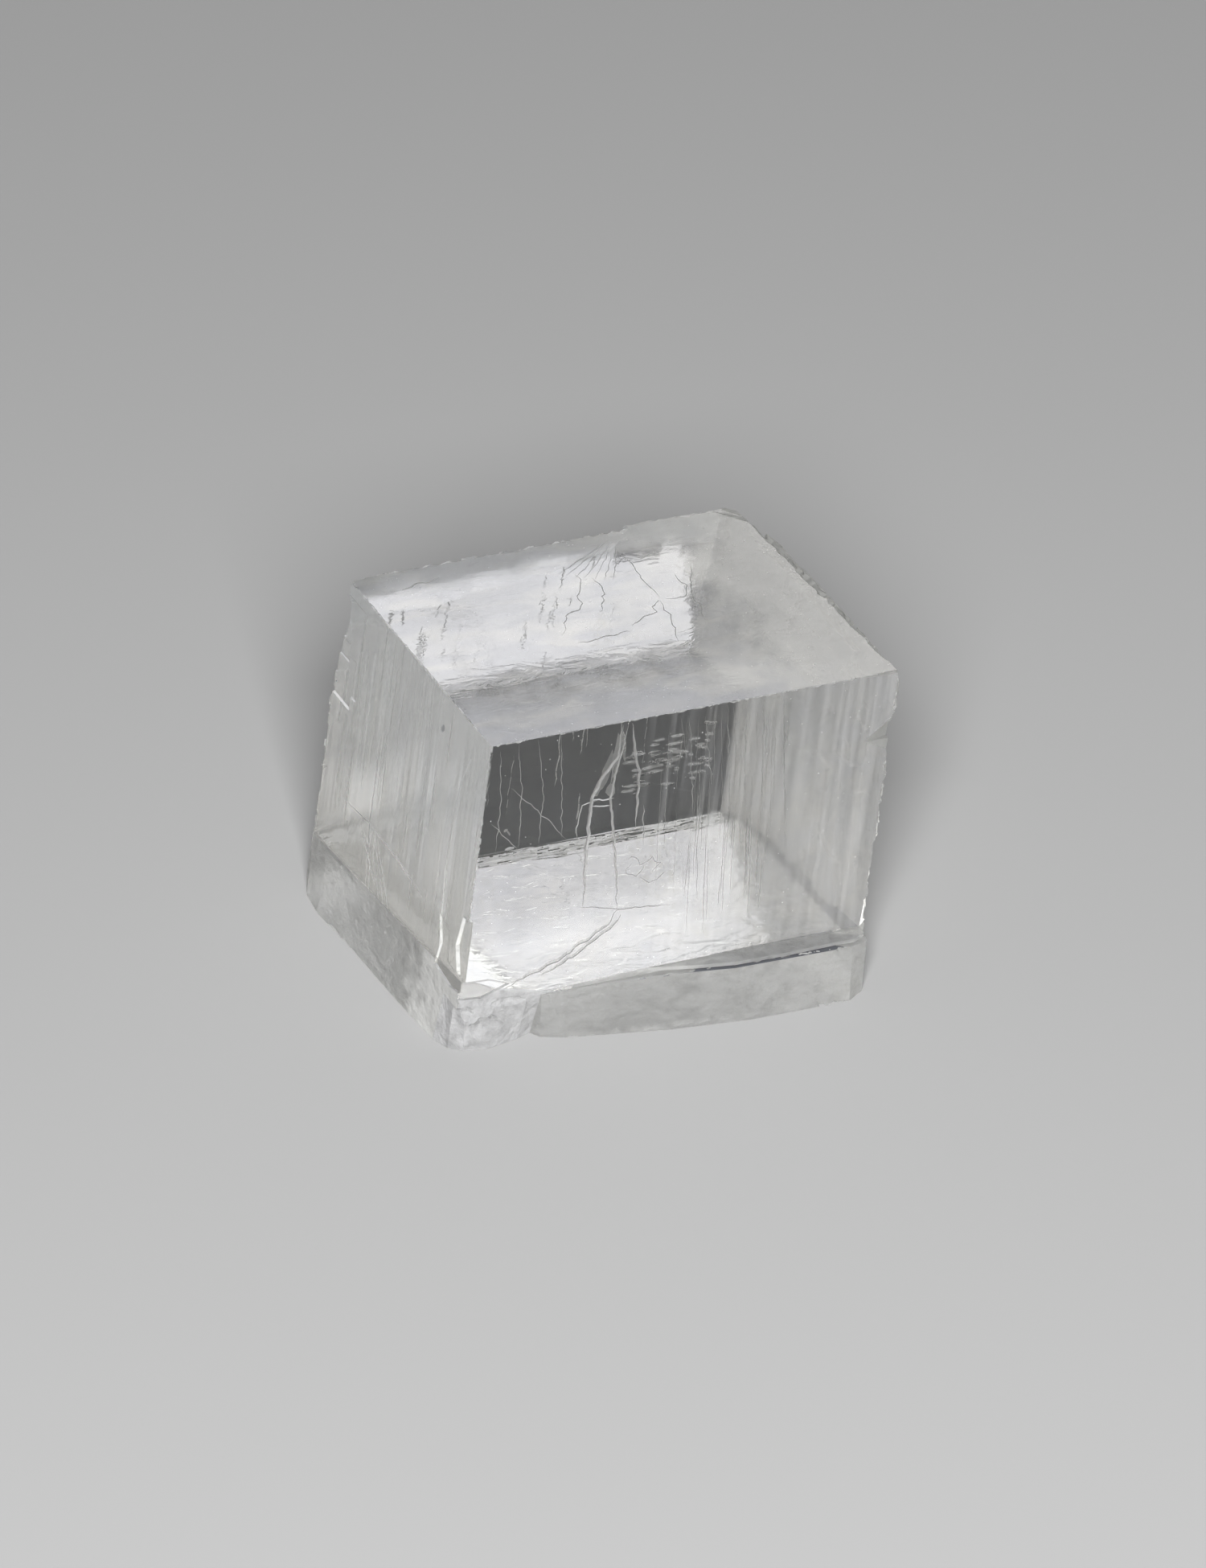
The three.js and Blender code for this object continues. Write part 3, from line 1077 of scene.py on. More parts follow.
@dataclass
class EdgeWear:
    """Small chips and square steps along the edges.

    Attributes:
        bench: the workbench.
        seed: seed of the draws.
        square_share: share of the chips that are square steps.
        square_side: side of a square step before it is scaled.
        smallest: the smallest chip, as a share of an edge's largest.
        rarity: the higher it is, the rarer large chips are.
        flatness: least and greatest share of its size along one direction.
        stretch: least and greatest lengthening along the edge.
        tilt: greatest turn of a round chip, radians.
        edges: the worn edges.
    """

    bench: Workbench
    seed: int = 71
    square_share: float = 0.4
    square_side: float = 1.4
    smallest: float = 0.2
    rarity: float = 2.5
    flatness: tuple[float, float] = (0.5, 1.1)
    stretch: tuple[float, float] = (1.0, 3.5)
    tilt: float = 0.6
    edges: tuple[Edge, ...] = (
        Edge((0.5, 0.0, 36.2), (45.0, 0.0, 36.2), 90, 0.2),
        Edge((0.0, 0.5, 36.2), (0.0, 33.0, 36.2), 60, 0.2),
        Edge((1.0, 33.1, 36.2), (31.0, 33.1, 36.2), 50, 0.35),
        Edge((32.0, 34.0, 36.2), (43.5, 33.6, 36.2), 20, 0.4),
        Edge((45.4, 1.0, 36.2), (44.2, 32.0, 36.2), 50, 0.25),
        Edge((0.0, 0.0, 6.0), (0.0, 0.0, 36.0), 110, 0.28),
        Edge((45.8, 0.0, 6.0), (45.7, 0.0, 36.0), 60, 0.4),
        Edge((0.0, 34.2, 1.0), (0.0, 33.8, 30.0), 50, 0.4),
        Edge((43.8, 33.4, 6.0), (43.8, 33.4, 35.0), 40, 0.45),
        Edge((-1.2, 6.0, 0.0), (-1.5, 32.0, 0.0), 40, 0.3),
        Edge((13.0, -0.4, 0.0), (44.0, -3.5, 0.0), 60, 0.25),
        Edge((46.3, 1.0, 0.0), (44.6, 33.0, 0.0), 40, 0.45),
        Edge((1.0, 34.7, 0.0), (43.0, 34.1, 0.0), 40, 0.4),
        Edge((10.0, 0.0, 5.5), (45.0, -2.1, 5.5), 70, 0.22),
        Edge((0.0, 4.0, 8.4), (0.0, 31.0, 5.1), 30, 0.14),
    )

    def build(self) -> list[bpy.types.Mesh]:
        """Makes the chips.

        Returns:
            Closed chips to cut away.
        """
        draw = random.Random(self.seed)
        chips = []
        for edge in self.edges:
            start, end = Vector(edge.start), Vector(edge.end)
            run = [abs(part) for part in end - start]
            along = run.index(max(run))
            for _ in range(edge.chips):
                share = self.smallest + (1 - self.smallest) * draw.random() ** self.rarity
                size = edge.largest * share
                radii = [size * draw.uniform(*self.flatness) for _ in range(3)]
                radii[along] *= draw.uniform(*self.stretch)
                at = start.lerp(end, draw.random())
                shape = bmesh.new()
                if draw.random() < self.square_share:
                    bmesh.ops.create_cube(shape, size=self.square_side)
                    spin = Matrix.Identity(4)
                else:
                    bmesh.ops.create_icosphere(shape, subdivisions=1, radius=1.0)
                    turns = [draw.uniform(-self.tilt, self.tilt) for _ in range(3)]
                    spin = Euler(turns).to_matrix().to_4x4()
                shape.transform(Matrix.Translation(at) @ spin @ Matrix.Diagonal((*radii, 1.0)))
                bmesh.ops.triangulate(shape, faces=shape.faces)
                chips.append(self.bench.mesh(shape, Skin.CHIP))
        return chips


@dataclass(frozen=True)
class ShellBreak:
    """A shell-shaped break: a scoop with ripples round the point where it started.

    Attributes:
        centre: middle of the scoop.
        radii: its radii along p, q and s.
        turn: its turn about the three, radians.
        focus: where the ripples start.
        ripple: height of the ripples.
        wave: distance between ripples.
        stray: how far the ripples wander.
        grit: height of the fine roughness.
        grit_rate: how fine it is.
        octaves: falloff and spacing of its octaves, and how many there are.
    """

    centre: Point
    radii: Point
    turn: Point
    focus: Point
    ripple: float = 0.04
    wave: float = 1.3
    stray: float = 0.6
    grit: float = 0.12
    grit_rate: float = 1.6
    octaves: tuple[float, float, int] = (0.9, 2.1, 4)

    def build(self, bench: Workbench) -> bpy.types.Mesh:
        """Makes the scoop.

        Args:
            bench: the workbench.

        Returns:
            A closed scoop to cut away.
        """
        shape = bmesh.new()
        bmesh.ops.create_icosphere(shape, subdivisions=6, radius=1.0)
        spin = Euler(self.turn).to_matrix().to_4x4()
        shape.transform(spin @ Matrix.Diagonal((*self.radii, 1.0)))
        for vertex in shape.verts:
            at = vertex.co + Vector(self.centre)
            far = (at - Vector(self.focus)).length + self.stray * noise.noise(at * 0.5)
            lift = self.ripple * math.sin(2 * math.pi * far / self.wave)
            lift += self.grit * noise.fractal(at * self.grit_rate, *self.octaves)
            vertex.co += vertex.co.normalized() * lift
        shape.transform(Matrix.Translation(self.centre))
        return bench.mesh(shape, Skin.BREAK)


# ---- the crystal ---------------------------------------------------------------------------


@dataclass(frozen=True)
class Border:
    """A straight border across one outer face, with another finish on its lower side.

    Attributes:
        axis: the axis that the face is square to, P or Q.
        point: a point on the border.
        normal: the way to the upper side.
        skin: the finish below.
        lowest: lowest s of the faces that it may cross.
        outside: how far in an outer face may lie.
        facing: greatest part of an outer face's normal along the axis.
    """

    axis: Axis
    point: Point
    normal: Point
    skin: Skin
    lowest: float = 0.0
    outside: float = 0.05
    facing: float = -0.5

    def on_face(self, at: Vector, way: Vector) -> bool:
        """Says whether a face with this middle and normal is one that the border may cross."""
        outer = at[self.axis] < self.outside and way[self.axis] < self.facing
        return outer and at.z > self.lowest

    def below(self, at: Vector) -> bool:
        """Says whether a place lies on the border's lower side."""
        return (at - Vector(self.point)).dot(Vector(self.normal)) < 0


@dataclass
class ParentBlock:
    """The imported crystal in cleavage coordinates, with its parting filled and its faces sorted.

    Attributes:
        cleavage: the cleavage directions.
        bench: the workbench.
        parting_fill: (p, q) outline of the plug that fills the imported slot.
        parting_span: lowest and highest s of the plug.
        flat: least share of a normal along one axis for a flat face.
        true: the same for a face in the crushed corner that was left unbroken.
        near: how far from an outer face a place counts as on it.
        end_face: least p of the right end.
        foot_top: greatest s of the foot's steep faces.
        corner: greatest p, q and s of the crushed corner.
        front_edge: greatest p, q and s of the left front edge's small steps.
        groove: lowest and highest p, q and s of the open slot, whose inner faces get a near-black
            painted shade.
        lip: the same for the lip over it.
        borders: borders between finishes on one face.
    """

    cleavage: Cleavage
    bench: Workbench
    parting_fill: Outline = field(
        default_factory=lambda: [
            (13.0, 0.02),
            (26.0, 0.02),
            (29.0, 0.9),
            (42.6, 1.1),
            (43.8, 4.0),
            (43.6, 20.0),
            (41.6, 30.0),
            (12.3, 30.6),
            (5.8, 22.2),
            (7.0, 8.3),
        ]
    )
    parting_span: tuple[float, float] = (5.45, 5.9)
    flat: float = 0.985
    true: float = 0.999
    near: float = 0.1
    end_face: float = 43.0
    foot_top: float = 5.4
    corner: Point = (9.5, 5.0, 8.6)
    front_edge: Point = (1.0, 7.0, 17.0)
    groove: tuple[tuple[float, float], ...] = ((26.0, 42.7), (-2.3, 1.6), (5.45, 6.0))
    lip: tuple[tuple[float, float], ...] = ((13.0, 46.5), (-2.3, 0.02), (5.45, 6.6))
    borders: tuple[Border, ...] = (
        Border(Axis.P, (0.0, 0.0, 8.5), (0.0, 0.088, 1.0), Skin.FLANK),
        Border(Axis.Q, (0.0, 0.0, 8.4), (0.26, 0.0, 1.0), Skin.BREAK, lowest=5.4),
    )

    def build(self) -> bpy.types.Mesh:
        """Makes the block.

        Returns:
            The closed block with skins on its faces.
        """
        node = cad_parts["calcite_crystal"]
        shape = bmesh.new()
        shape.from_mesh(node.data)
        shape.transform(self.cleavage.to_row().inverted())
        bmesh.ops.remove_doubles(shape, verts=shape.verts, dist=1e-4)
        mesh = self.bench.mesh(shape, Skin.BASE)
        fill = self.bench.prism(Axis.S, self.parting_fill, *self.parting_span, Skin.BASE)
        mesh = self.bench.apply(mesh, [fill], Operation.JOIN)
        self.split(mesh)
        for face in mesh.polygons:
            face.material_index = self.skin_of(face)
        return mesh

    def split(self, mesh: bpy.types.Mesh) -> None:
        """Splits the outer faces along the borders.

        Args:
            mesh: the block, which is changed.
        """
        shape = bmesh.new()
        shape.from_mesh(mesh)
        for border in self.borders:
            crossed = [
                face for face in shape.faces if border.on_face(face.calc_center_median(), face.normal)
            ]
            # Dictionaries keep their order, so each run cuts in the same order.
            edges = dict.fromkeys(edge for face in crossed for edge in face.edges)
            verts = dict.fromkeys(vert for face in crossed for vert in face.verts)
            bmesh.ops.bisect_plane(
                shape, geom=[*crossed, *edges, *verts], plane_co=border.point, plane_no=border.normal
            )
        bmesh.ops.triangulate(shape, faces=[face for face in shape.faces if len(face.verts) > 3])
        shape.to_mesh(mesh)
        shape.free()

    def skin_of(self, face: bpy.types.MeshPolygon) -> Skin:
        """Sorts one face.

        Args:
            face: a face of the block.

        Returns:
            The skin that suits it.
        """
        at, way = face.center, face.normal
        straightest = max(abs(part) for part in way)
        if way.z < -self.flat and at.z < self.near:
            return Skin.BASE
        if way.y > -self.flat or at.y > self.near:
            # The faces inside the open slot get the near-black painted shade.
            if all(low < place < high for place, (low, high) in zip(at, self.groove)):
                return Skin.GROOVE
        if all(low < place < high for place, (low, high) in zip(at, self.lip)):
            return Skin.FOOT
        in_corner = all(place < limit for place, limit in zip(at, self.corner))
        if in_corner and straightest < self.true:
            return Skin.BREAK
        if at.z < self.corner[2]:
            for border in self.borders:
                if border.on_face(at, way) and border.below(at):
                    return border.skin
        if at.z < self.foot_top and abs(way.z) < self.flat:
            return Skin.FOOT
        if at.x > self.end_face:
            return Skin.END
        if straightest < self.flat:
            on_front_edge = all(place < limit for place, limit in zip(at, self.front_edge))
            return Skin.LEFT if on_front_edge else Skin.CHIP
        if way.x < -self.flat:
            return Skin.LEFT
        if way.y < -self.flat:
            return Skin.FRONT
        if way.y > self.flat:
            return Skin.BACK
        return Skin.TOP


@dataclass
class Parting:
    """The opened basal parting: a thin film of air between the block and the foot.

    Attributes:
        bench: the workbench.
        thick: thickness of the film.
        cell: spacing of its grid.
        span: lowest p, highest p, lowest q and highest q.
        level: its s.
        left_rise: how far it rises at the left front.
        left_reach: how far along p the rise reaches.
        left_depth: how far along q it reaches.
        stray: how far its hidden borders stray.
        stray_rate: how fast they do.
    """

    bench: Workbench
    thick: float = 0.06
    cell: float = 0.5
    span: tuple[float, float, float, float] = (0.3, 43.8, 0.4, 30.9)
    level: float = 5.6
    left_rise: float = 2.9
    left_reach: float = 5.0
    left_depth: float = 33.0
    stray: float = 0.5
    stray_rate: float = 0.3

    def height(self, p: float, q: float) -> float:
        """Gives the film's height at a point.

        Args:
            p: place along the crystal.
            q: place from front to back.

        Returns:
            Its s.
        """
        left = self.left_rise * max(0.0, 1 - q / self.left_depth)
        return self.level + left * math.exp(-((p / self.left_reach) ** 2))

    def build(self) -> bpy.types.Mesh:
        """Makes the film.

        Returns:
            The thin closed sheet.
        """
        low_p, high_p, low_q, high_q = self.span

        def inside(p: float, q: float) -> bool:
            """Says whether the film reaches a point.

            Args:
                p: place along the crystal.
                q: place from front to back.

            Returns:
                Whether it does.
            """
            back = high_q + self.stray * noise.noise((p * self.stray_rate, 0.0, 0.0))
            right = high_p + self.stray * noise.noise((0.0, q * self.stray_rate, 5.0))
            return q < back and p < right

        span = (low_p, high_p + 1, low_q, high_q + 1)
        return self.bench.sheet(inside, self.height, self.thick, span, self.cell, Skin.FILM)


@dataclass
class TopFlaws:
    """The cracks on the top face: a crackle right of the middle and a fan beside it.

    Attributes:
        bench: the workbench.
        crackle: traces of the crackle.
        fan_root: where the fan's strands start.
        fan_tips: where its first and its last strand end.
        fan_strands: how many strands it has.
        fan_gap: bare share of a strand at its root.
        fan_stagger: how much more is bare on the next two strands.
        fan_knee: share of a strand where it bends.
        fan_bend: how far it bends there.
    """

    bench: Workbench
    crackle: tuple[Outline, ...] = (
        [(28.7, 29.3), (28.7, 24.8), (28.8, 20.0)],
        [(22.8, 26.8), (21.3, 23.2), (20.0, 20.7), (18.0, 19.9), (16.1, 16.9)],
        [(24.1, 25.6), (23.6, 22.4), (21.7, 19.4)],
        [(28.6, 19.7), (27.1, 18.4), (27.2, 17.6), (25.8, 17.3), (23.4, 15.9)],
        [(32.3, 23.6), (32.4, 21.0), (31.1, 19.2), (29.4, 19.5)],
        [(34.5, 24.8), (32.2, 19.6), (31.9, 16.8), (31.0, 14.2)],
        [(28.5, 19.4), (28.0, 15.9), (26.8, 11.9)],
        [(30.0, 27.4), (32.5, 27.3)],
        [(17.1, 14.7), (19.6, 15.0), (23.0, 15.0)],
        [(3.9, 29.2), (6.3, 29.9), (9.0, 30.3)],
    )
    fan_root: tuple[float, float] = (29.4, 31.8)
    fan_tips: tuple[float, float, float, float] = (20.4, 27.0, 25.6, 24.2)
    fan_strands: int = 7
    fan_gap: float = 0.05
    fan_stagger: float = 0.12
    fan_knee: float = 0.55
    fan_bend: tuple[float, float] = (0.5, 0.35)

    def build(self) -> list[bpy.types.Mesh]:
        """Makes the cracks.

        Returns:
            Closed wedges to cut away.
        """
        cracks = [Crack(Side.TOP, path, 0.09, 0.5, (0.25, 0.3), 0.45) for path in self.crackle]
        root = Vector(self.fan_root)
        low, high = Vector(self.fan_tips[:2]), Vector(self.fan_tips[2:])
        for k in range(self.fan_strands):
            share = k / (self.fan_strands - 1)
            tip = low.lerp(high, share)
            start = root.lerp(tip, self.fan_gap + self.fan_stagger * (k % 3))
            bend = root.lerp(tip, self.fan_knee) + Vector(self.fan_bend)
            path = [tuple(start), tuple(bend), tuple(tip)]
            cracks.append(Crack(Side.TOP, path, 0.1, 0.07, (0.05, 0.0), 0.2, Skin.FRONT))
        return [crack.build(self.bench) for crack in cracks]


@dataclass(frozen=True)
class Glints:
    """Flat slivers of air that lie along the base and flash behind the front face.

    Attributes:
        seed: seed of the draws.
        count: how many slivers.
        across: lowest and highest p.
        middle: s about which they lie.
        spread: how far they lie from it.
        behind: least and greatest q.
        shortest: least half length.
        longer: how much longer the longest one is.
        rarity: the higher it is, the rarer long ones are.
        deep: half size along q.
        turn: greatest turn, degrees.
    """

    seed: int = 5
    count: int = 70
    across: tuple[float, float] = (16.4, 25.8)
    middle: float = 30.0
    spread: float = 1.7
    behind: tuple[float, float] = (0.5, 2.0)
    shortest: float = 0.2
    longer: float = 0.9
    rarity: float = 2.0
    deep: float = 0.35
    turn: float = 8.0

    def veils(self) -> list[Veil]:
        """Places the slivers.

        Returns:
            One veil for each.
        """
        draw = random.Random(self.seed)
        veils = []
        for _ in range(self.count):
            p, s = draw.uniform(*self.across), draw.gauss(self.middle, self.spread)
            q = draw.uniform(*self.behind)
            half = self.shortest + self.longer * draw.random() ** self.rarity
            turn = draw.uniform(-self.turn, self.turn)
            skin = draw.choice((Skin.FILM, Skin.CHIP))
            depth = Side.TOP.value[1] - s
            veils.append(Veil(Side.TOP, (p, q), depth, (half, self.deep), turn, wave=0.0, skin=skin))
        return veils


@dataclass
class FrontFlaws:
    """The cracks on and behind the front face.

    Attributes:
        bench: the workbench.
        nested: traces of the large nested cracks, each with its width.
        hairlines: traces of the hairlines down from the top edge.
        scribble: traces of the tangle below the nested cracks.
        curves: traces of the two long curves in the bright lower field.
        flakes: veils beside the nested cracks.
        threads: fine threads up the face, close together right of the middle.
        glints: slivers that flash behind the face.
    """

    bench: Workbench
    nested: tuple[tuple[Outline, float], ...] = (
        ([(14.4, 36.1), (14.6, 32.3), (12.9, 29.8), (12.2, 27.7), (12.2, 24.9), (12.8, 15.1)], 0.5),
        (
            [
                (15.3, 36.1),
                (15.1, 34.1),
                (14.6, 30.9),
                (14.3, 27.5),
                (15.0, 24.3),
                (15.8, 19.9),
                (16.8, 14.1),
            ],
            0.36,
        ),
        ([(15.7, 36.0), (16.4, 32.4), (17.2, 29.9), (17.4, 27.1), (17.6, 23.3)], 0.36),
        ([(12.1, 27.6), (14.8, 27.3)], 0.22),
        ([(12.3, 26.9), (14.6, 26.5)], 0.2),
        ([(12.8, 27.5), (11.1, 27.2), (10.9, 24.6), (11.1, 23.2)], 0.2),
        ([(12.2, 15.2), (17.1, 14.0), (23.0, 13.3)], 0.18),
        ([(18.2, 26.0), (18.8, 21.2)], 0.16),
    )
    hairlines: tuple[Outline, ...] = (
        [(1.1, 35.4), (1.8, 29.7), (2.0, 23.6)],
        [(3.0, 36.0), (4.1, 30.2), (4.5, 23.6)],
        [(5.2, 36.0), (6.6, 29.2), (6.8, 23.4)],
        [(7.7, 36.0), (9.4, 23.5)],
        [(22.1, 35.5), (23.0, 30.2), (24.2, 22.9)],
        [(23.9, 35.1), (24.8, 30.8), (25.8, 26.8)],
        [(26.3, 36.1), (28.5, 21.6)],
        [(28.4, 35.9), (30.0, 22.6)],
        [(30.4, 35.7), (32.2, 20.9)],
        [(32.6, 35.9), (35.4, 17.0)],
        [(2.7, 30.9), (6.2, 27.6), (10.0, 23.4)],
        [(1.0, 27.1), (4.6, 23.3)],
    )
    scribble: tuple[Outline, ...] = (
        [(16.8, 19.8), (17.9, 20.2), (18.6, 19.2), (19.8, 19.6), (20.9, 18.4), (20.2, 17.2)],
        [(17.6, 19.4), (17.2, 18.2), (18.4, 17.6), (19.2, 18.4), (19.0, 19.1)],
        [(18.9, 17.4), (20.0, 16.6), (21.2, 16.9), (22.0, 18.0)],
    )
    curves: tuple[Outline, ...] = (
        [(16.8, 13.8), (15.9, 12.4), (13.8, 10.9), (11.3, 9.4), (8.3, 8.2), (4.9, 7.0)],
        [(17.4, 13.3), (16.4, 11.8), (14.2, 10.3), (11.6, 8.9), (9.0, 7.6)],
    )

    flakes: tuple[Veil, ...] = (
        Veil(Side.FRONT, (14.6, 32.0), 0.5, (0.5, 3.0), -4.0, (0.3, 0.02), skin=Skin.CHIP),
        Veil(Side.FRONT, (13.9, 30.4), 0.9, (0.6, 2.0), -14.0, (0.2, 0.0), skin=Skin.CHIP),
        Veil(Side.FRONT, (13.2, 29.0), 0.7, (0.5, 1.3), -30.0, (0.2, 0.1)),
        Veil(Side.FRONT, (15.6, 32.8), 1.2, (0.3, 2.2), 12.0, (0.4, 0.0)),
        Veil(Side.FRONT, (14.4, 28.2), 0.4, (0.6, 0.7), 10.0, (0.1, 0.2)),
        Veil(Side.FRONT, (3.0, 25.8), 0.3, (0.3, 0.16), 20.0, (0.0, 0.1), skin=Skin.CHIP),
        Veil(Side.FRONT, (3.3, 25.5), 0.2, (0.12, 0.4), 35.0, (0.0, 0.1), skin=Skin.CHIP),
    )
    threads: Strokes = Strokes(
        Side.FRONT,
        seed=17,
        count=60,
        across=(20.5, 34.0),
        foot=(9.0, 32.0),
        tall=(2.0, 16.0),
        widths=(0.03, 0.09),
        depth=0.08,
        root=0.04,
        ragged=0.12,
        crowd=0.8,
        slant=0.09,
        stray=0.3,
    )
    glints: Glints = Glints()

    def build(self) -> list[bpy.types.Mesh]:
        """Makes the cracks, threads, flakes and glints.

        Returns:
            Closed shapes to cut away.
        """
        side = Side.FRONT
        flaws: list[Crack | Veil] = [
            Crack(side, path, width, 0.3 * width + 0.05, lean=(0.2 * width, 0.0), ragged=0.2)
            for path, width in self.nested
        ]
        kinds = (
            (self.hairlines, 0.1, 0.14, (0.05, 0.0), 0.2),
            (self.curves, 0.16, 0.3, (0.1, 0.25), 0.3),
            (self.scribble, 0.09, 0.1, (0.05, 0.0), 0.5),
        )
        for paths, width, depth, lean, ragged in kinds:
            flaws += [Crack(side, path, width, depth, lean, ragged) for path in paths]
        flaws += [*self.threads.cracks(), *self.flakes, *self.glints.veils()]
        return [flaw.build(self.bench) for flaw in flaws]


@dataclass
class LeftFlaws:
    """The strip, strokes and speck on the left face.

    Attributes:
        bench: the workbench.
        strip: (q, s) outline of the layer gone along the front edge.
        strokes: traces of the larger strokes.
        strip_depth: thickness of that layer.
        speck: the dark speck near the top.
        striations: fine strokes up the face.
    """

    bench: Workbench
    strip: Outline = field(
        default_factory=lambda: [
            (-1.0, 7.2),
            (4.9, 7.4),
            (5.6, 12.0),
            (6.1, 18.0),
            (5.9, 24.0),
            (5.2, 29.0),
            (3.8, 32.5),
            (1.6, 34.0),
            (-1.0, 34.6),
        ]
    )
    strokes: tuple[Outline, ...] = (
        [(22.5, 24.0), (22.6, 13.1), (21.8, 5.9)],
        [(22.1, 13.1), (21.0, 5.6)],
        [(21.5, 13.6), (17.6, 6.6)],
        [(20.6, 13.0), (16.6, 7.0)],
        [(21.8, 12.0), (18.8, 6.9)],
        [(24.6, 12.4), (19.9, 7.8)],
        [(28.6, 12.9), (22.5, 13.6), (16.0, 13.4), (10.0, 12.6)],
    )

    strip_depth: float = 0.07
    speck: Veil = Veil(
        Side.LEFT, (10.2, 32.2), 0.12, (0.32, 0.5), 20.0, thick=0.12, skin=Skin.GROOVE
    )
    striations: Strokes = Strokes(
        Side.LEFT,
        seed=8,
        count=34,
        across=(7.0, 31.0),
        foot=(9.0, 30.0),
        tall=(2.0, 11.0),
        widths=(0.03, 0.1),
        depth=0.06,
        root=0.0,
        ragged=0.05,
    )

    def build(self) -> list[bpy.types.Mesh]:
        """Makes the strip, the strokes and the speck.

        Returns:
            Closed shapes to cut away.
        """
        strip = self.bench.prism(Axis.P, self.strip, -1.0, self.strip_depth, Skin.LEFT)
        strokes = [
            Crack(Side.LEFT, path, width=0.12, depth=0.15, lean=(0.1, 0.0), ragged=0.15)
            for path in self.strokes
        ]
        flaws = [*strokes, self.speck, *self.striations.cracks()]
        return [strip, *(flaw.build(self.bench) for flaw in flaws)]


@dataclass
class HiddenFlaws:
    """Strokes up the back and the right end, and slivers of air behind the parting.

    Attributes:
        bench: the workbench.
        seed: seed of the draws.
        walls: a face, how far across it strokes lie, how many and their greatest width.
        nearest: least place across a face.
        foot: lowest and highest s of the strokes' lower ends.
        stray: how far they lean at random.
        tall: shortest and longest stroke.
        top: greatest s that they reach.
        thin: least and greatest share of the greatest width.
        slivers: how many slivers.
        sliver_place: lowest and highest p, then lowest and highest q.
        sliver_size: least and greatest half length, then half width.
        sliver_level: s about which they lie.
        sliver_off: how far below and above it.
        sliver_turn: greatest turn, degrees.
        sliver_tilt: greatest tilt along q.
    """

    bench: Workbench
    seed: int = 13
    walls: tuple[tuple[Side, float, int, float], ...] = (
        (Side.BACK, 42.0, 40, 0.12),
        (Side.END, 31.0, 6, 0.1),
    )
    nearest: float = 1.5
    foot: tuple[float, float] = (7.0, 30.0)
    stray: float = 0.4
    tall: tuple[float, float] = (2.0, 14.0)
    top: float = 35.4
    thin: tuple[float, float] = (0.3, 1.0)
    slivers: int = 40
    sliver_place: tuple[float, float, float, float] = (0.8, 42.0, 30.6, 33.6)
    sliver_size: tuple[float, float, float, float] = (0.5, 2.6, 0.08, 0.25)
    sliver_level: float = 5.6
    sliver_off: tuple[float, float] = (-0.5, 0.3)
    sliver_turn: float = 12.0
    sliver_tilt: float = 0.4

    def build(self) -> list[bpy.types.Mesh]:
        """Makes them.

        Returns:
            Closed shapes to cut away.
        """
        draw = random.Random(self.seed)
        flaws: list[Crack | Veil] = []
        for side, reach, count, widest in self.walls:
            for _ in range(count):
                a, b = draw.uniform(self.nearest, reach), draw.uniform(*self.foot)
                tip = a + draw.uniform(-self.stray, self.stray)
                path = [(a, b), (tip, min(self.top, b + draw.uniform(*self.tall)))]
                width = draw.uniform(*self.thin) * widest
                flaws.append(Crack(side, path, width, 0.8 * width + 0.1, (0.1, 0.0), 0.2))
        low_p, high_p, low_q, high_q = self.sliver_place
        for _ in range(self.slivers):
            centre = (draw.uniform(low_p, high_p), draw.uniform(low_q, high_q))
            size = (draw.uniform(*self.sliver_size[:2]), draw.uniform(*self.sliver_size[2:]))
            depth = Side.TOP.value[1] - self.sliver_level + draw.uniform(*self.sliver_off)
            turn = draw.uniform(-self.sliver_turn, self.sliver_turn)
            tilt = (0.0, draw.uniform(-self.sliver_tilt, self.sliver_tilt))
            flaws.append(Veil(Side.TOP, centre, depth, size, turn, tilt))
        return [flaw.build(self.bench) for flaw in flaws]


@dataclass
class CornerBreak:
    """The crushed, frosted corner at the front left of the foot."""

    bench: Workbench
    shells: tuple[ShellBreak, ...] = (
        ShellBreak((-6.5, -2.1, 2.4), (7.55, 9.35, 4.3), (0.1, 0.15, 0.3), (-4.0, 9.0, 9.0)),
        ShellBreak((3.8, -5.85, 1.2), (6.5, 6.75, 3.7), (0.3, 0.0, 0.1), (12.0, 2.0, 9.0)),
        ShellBreak((-1.3, -1.4, 7.3), (2.2, 2.5, 1.6), (0.4, 0.2, 0.6), (0.0, 0.0, 8.0)),
        ShellBreak((0.6, -0.9, 4.6), (2.2, 1.6, 1.3), (0.2, 0.3, 0.1), (0.0, 0.0, 5.0)),
        ShellBreak((5.2, -1.0, 5.4), (3.2, 1.35, 0.9), (0.0, 0.1, 0.1), (4.0, 0.0, 5.0)),
    )

    def build(self) -> list[bpy.types.Mesh]:
        """Makes the shell breaks."""
        return [shell.build(self.bench) for shell in self.shells]


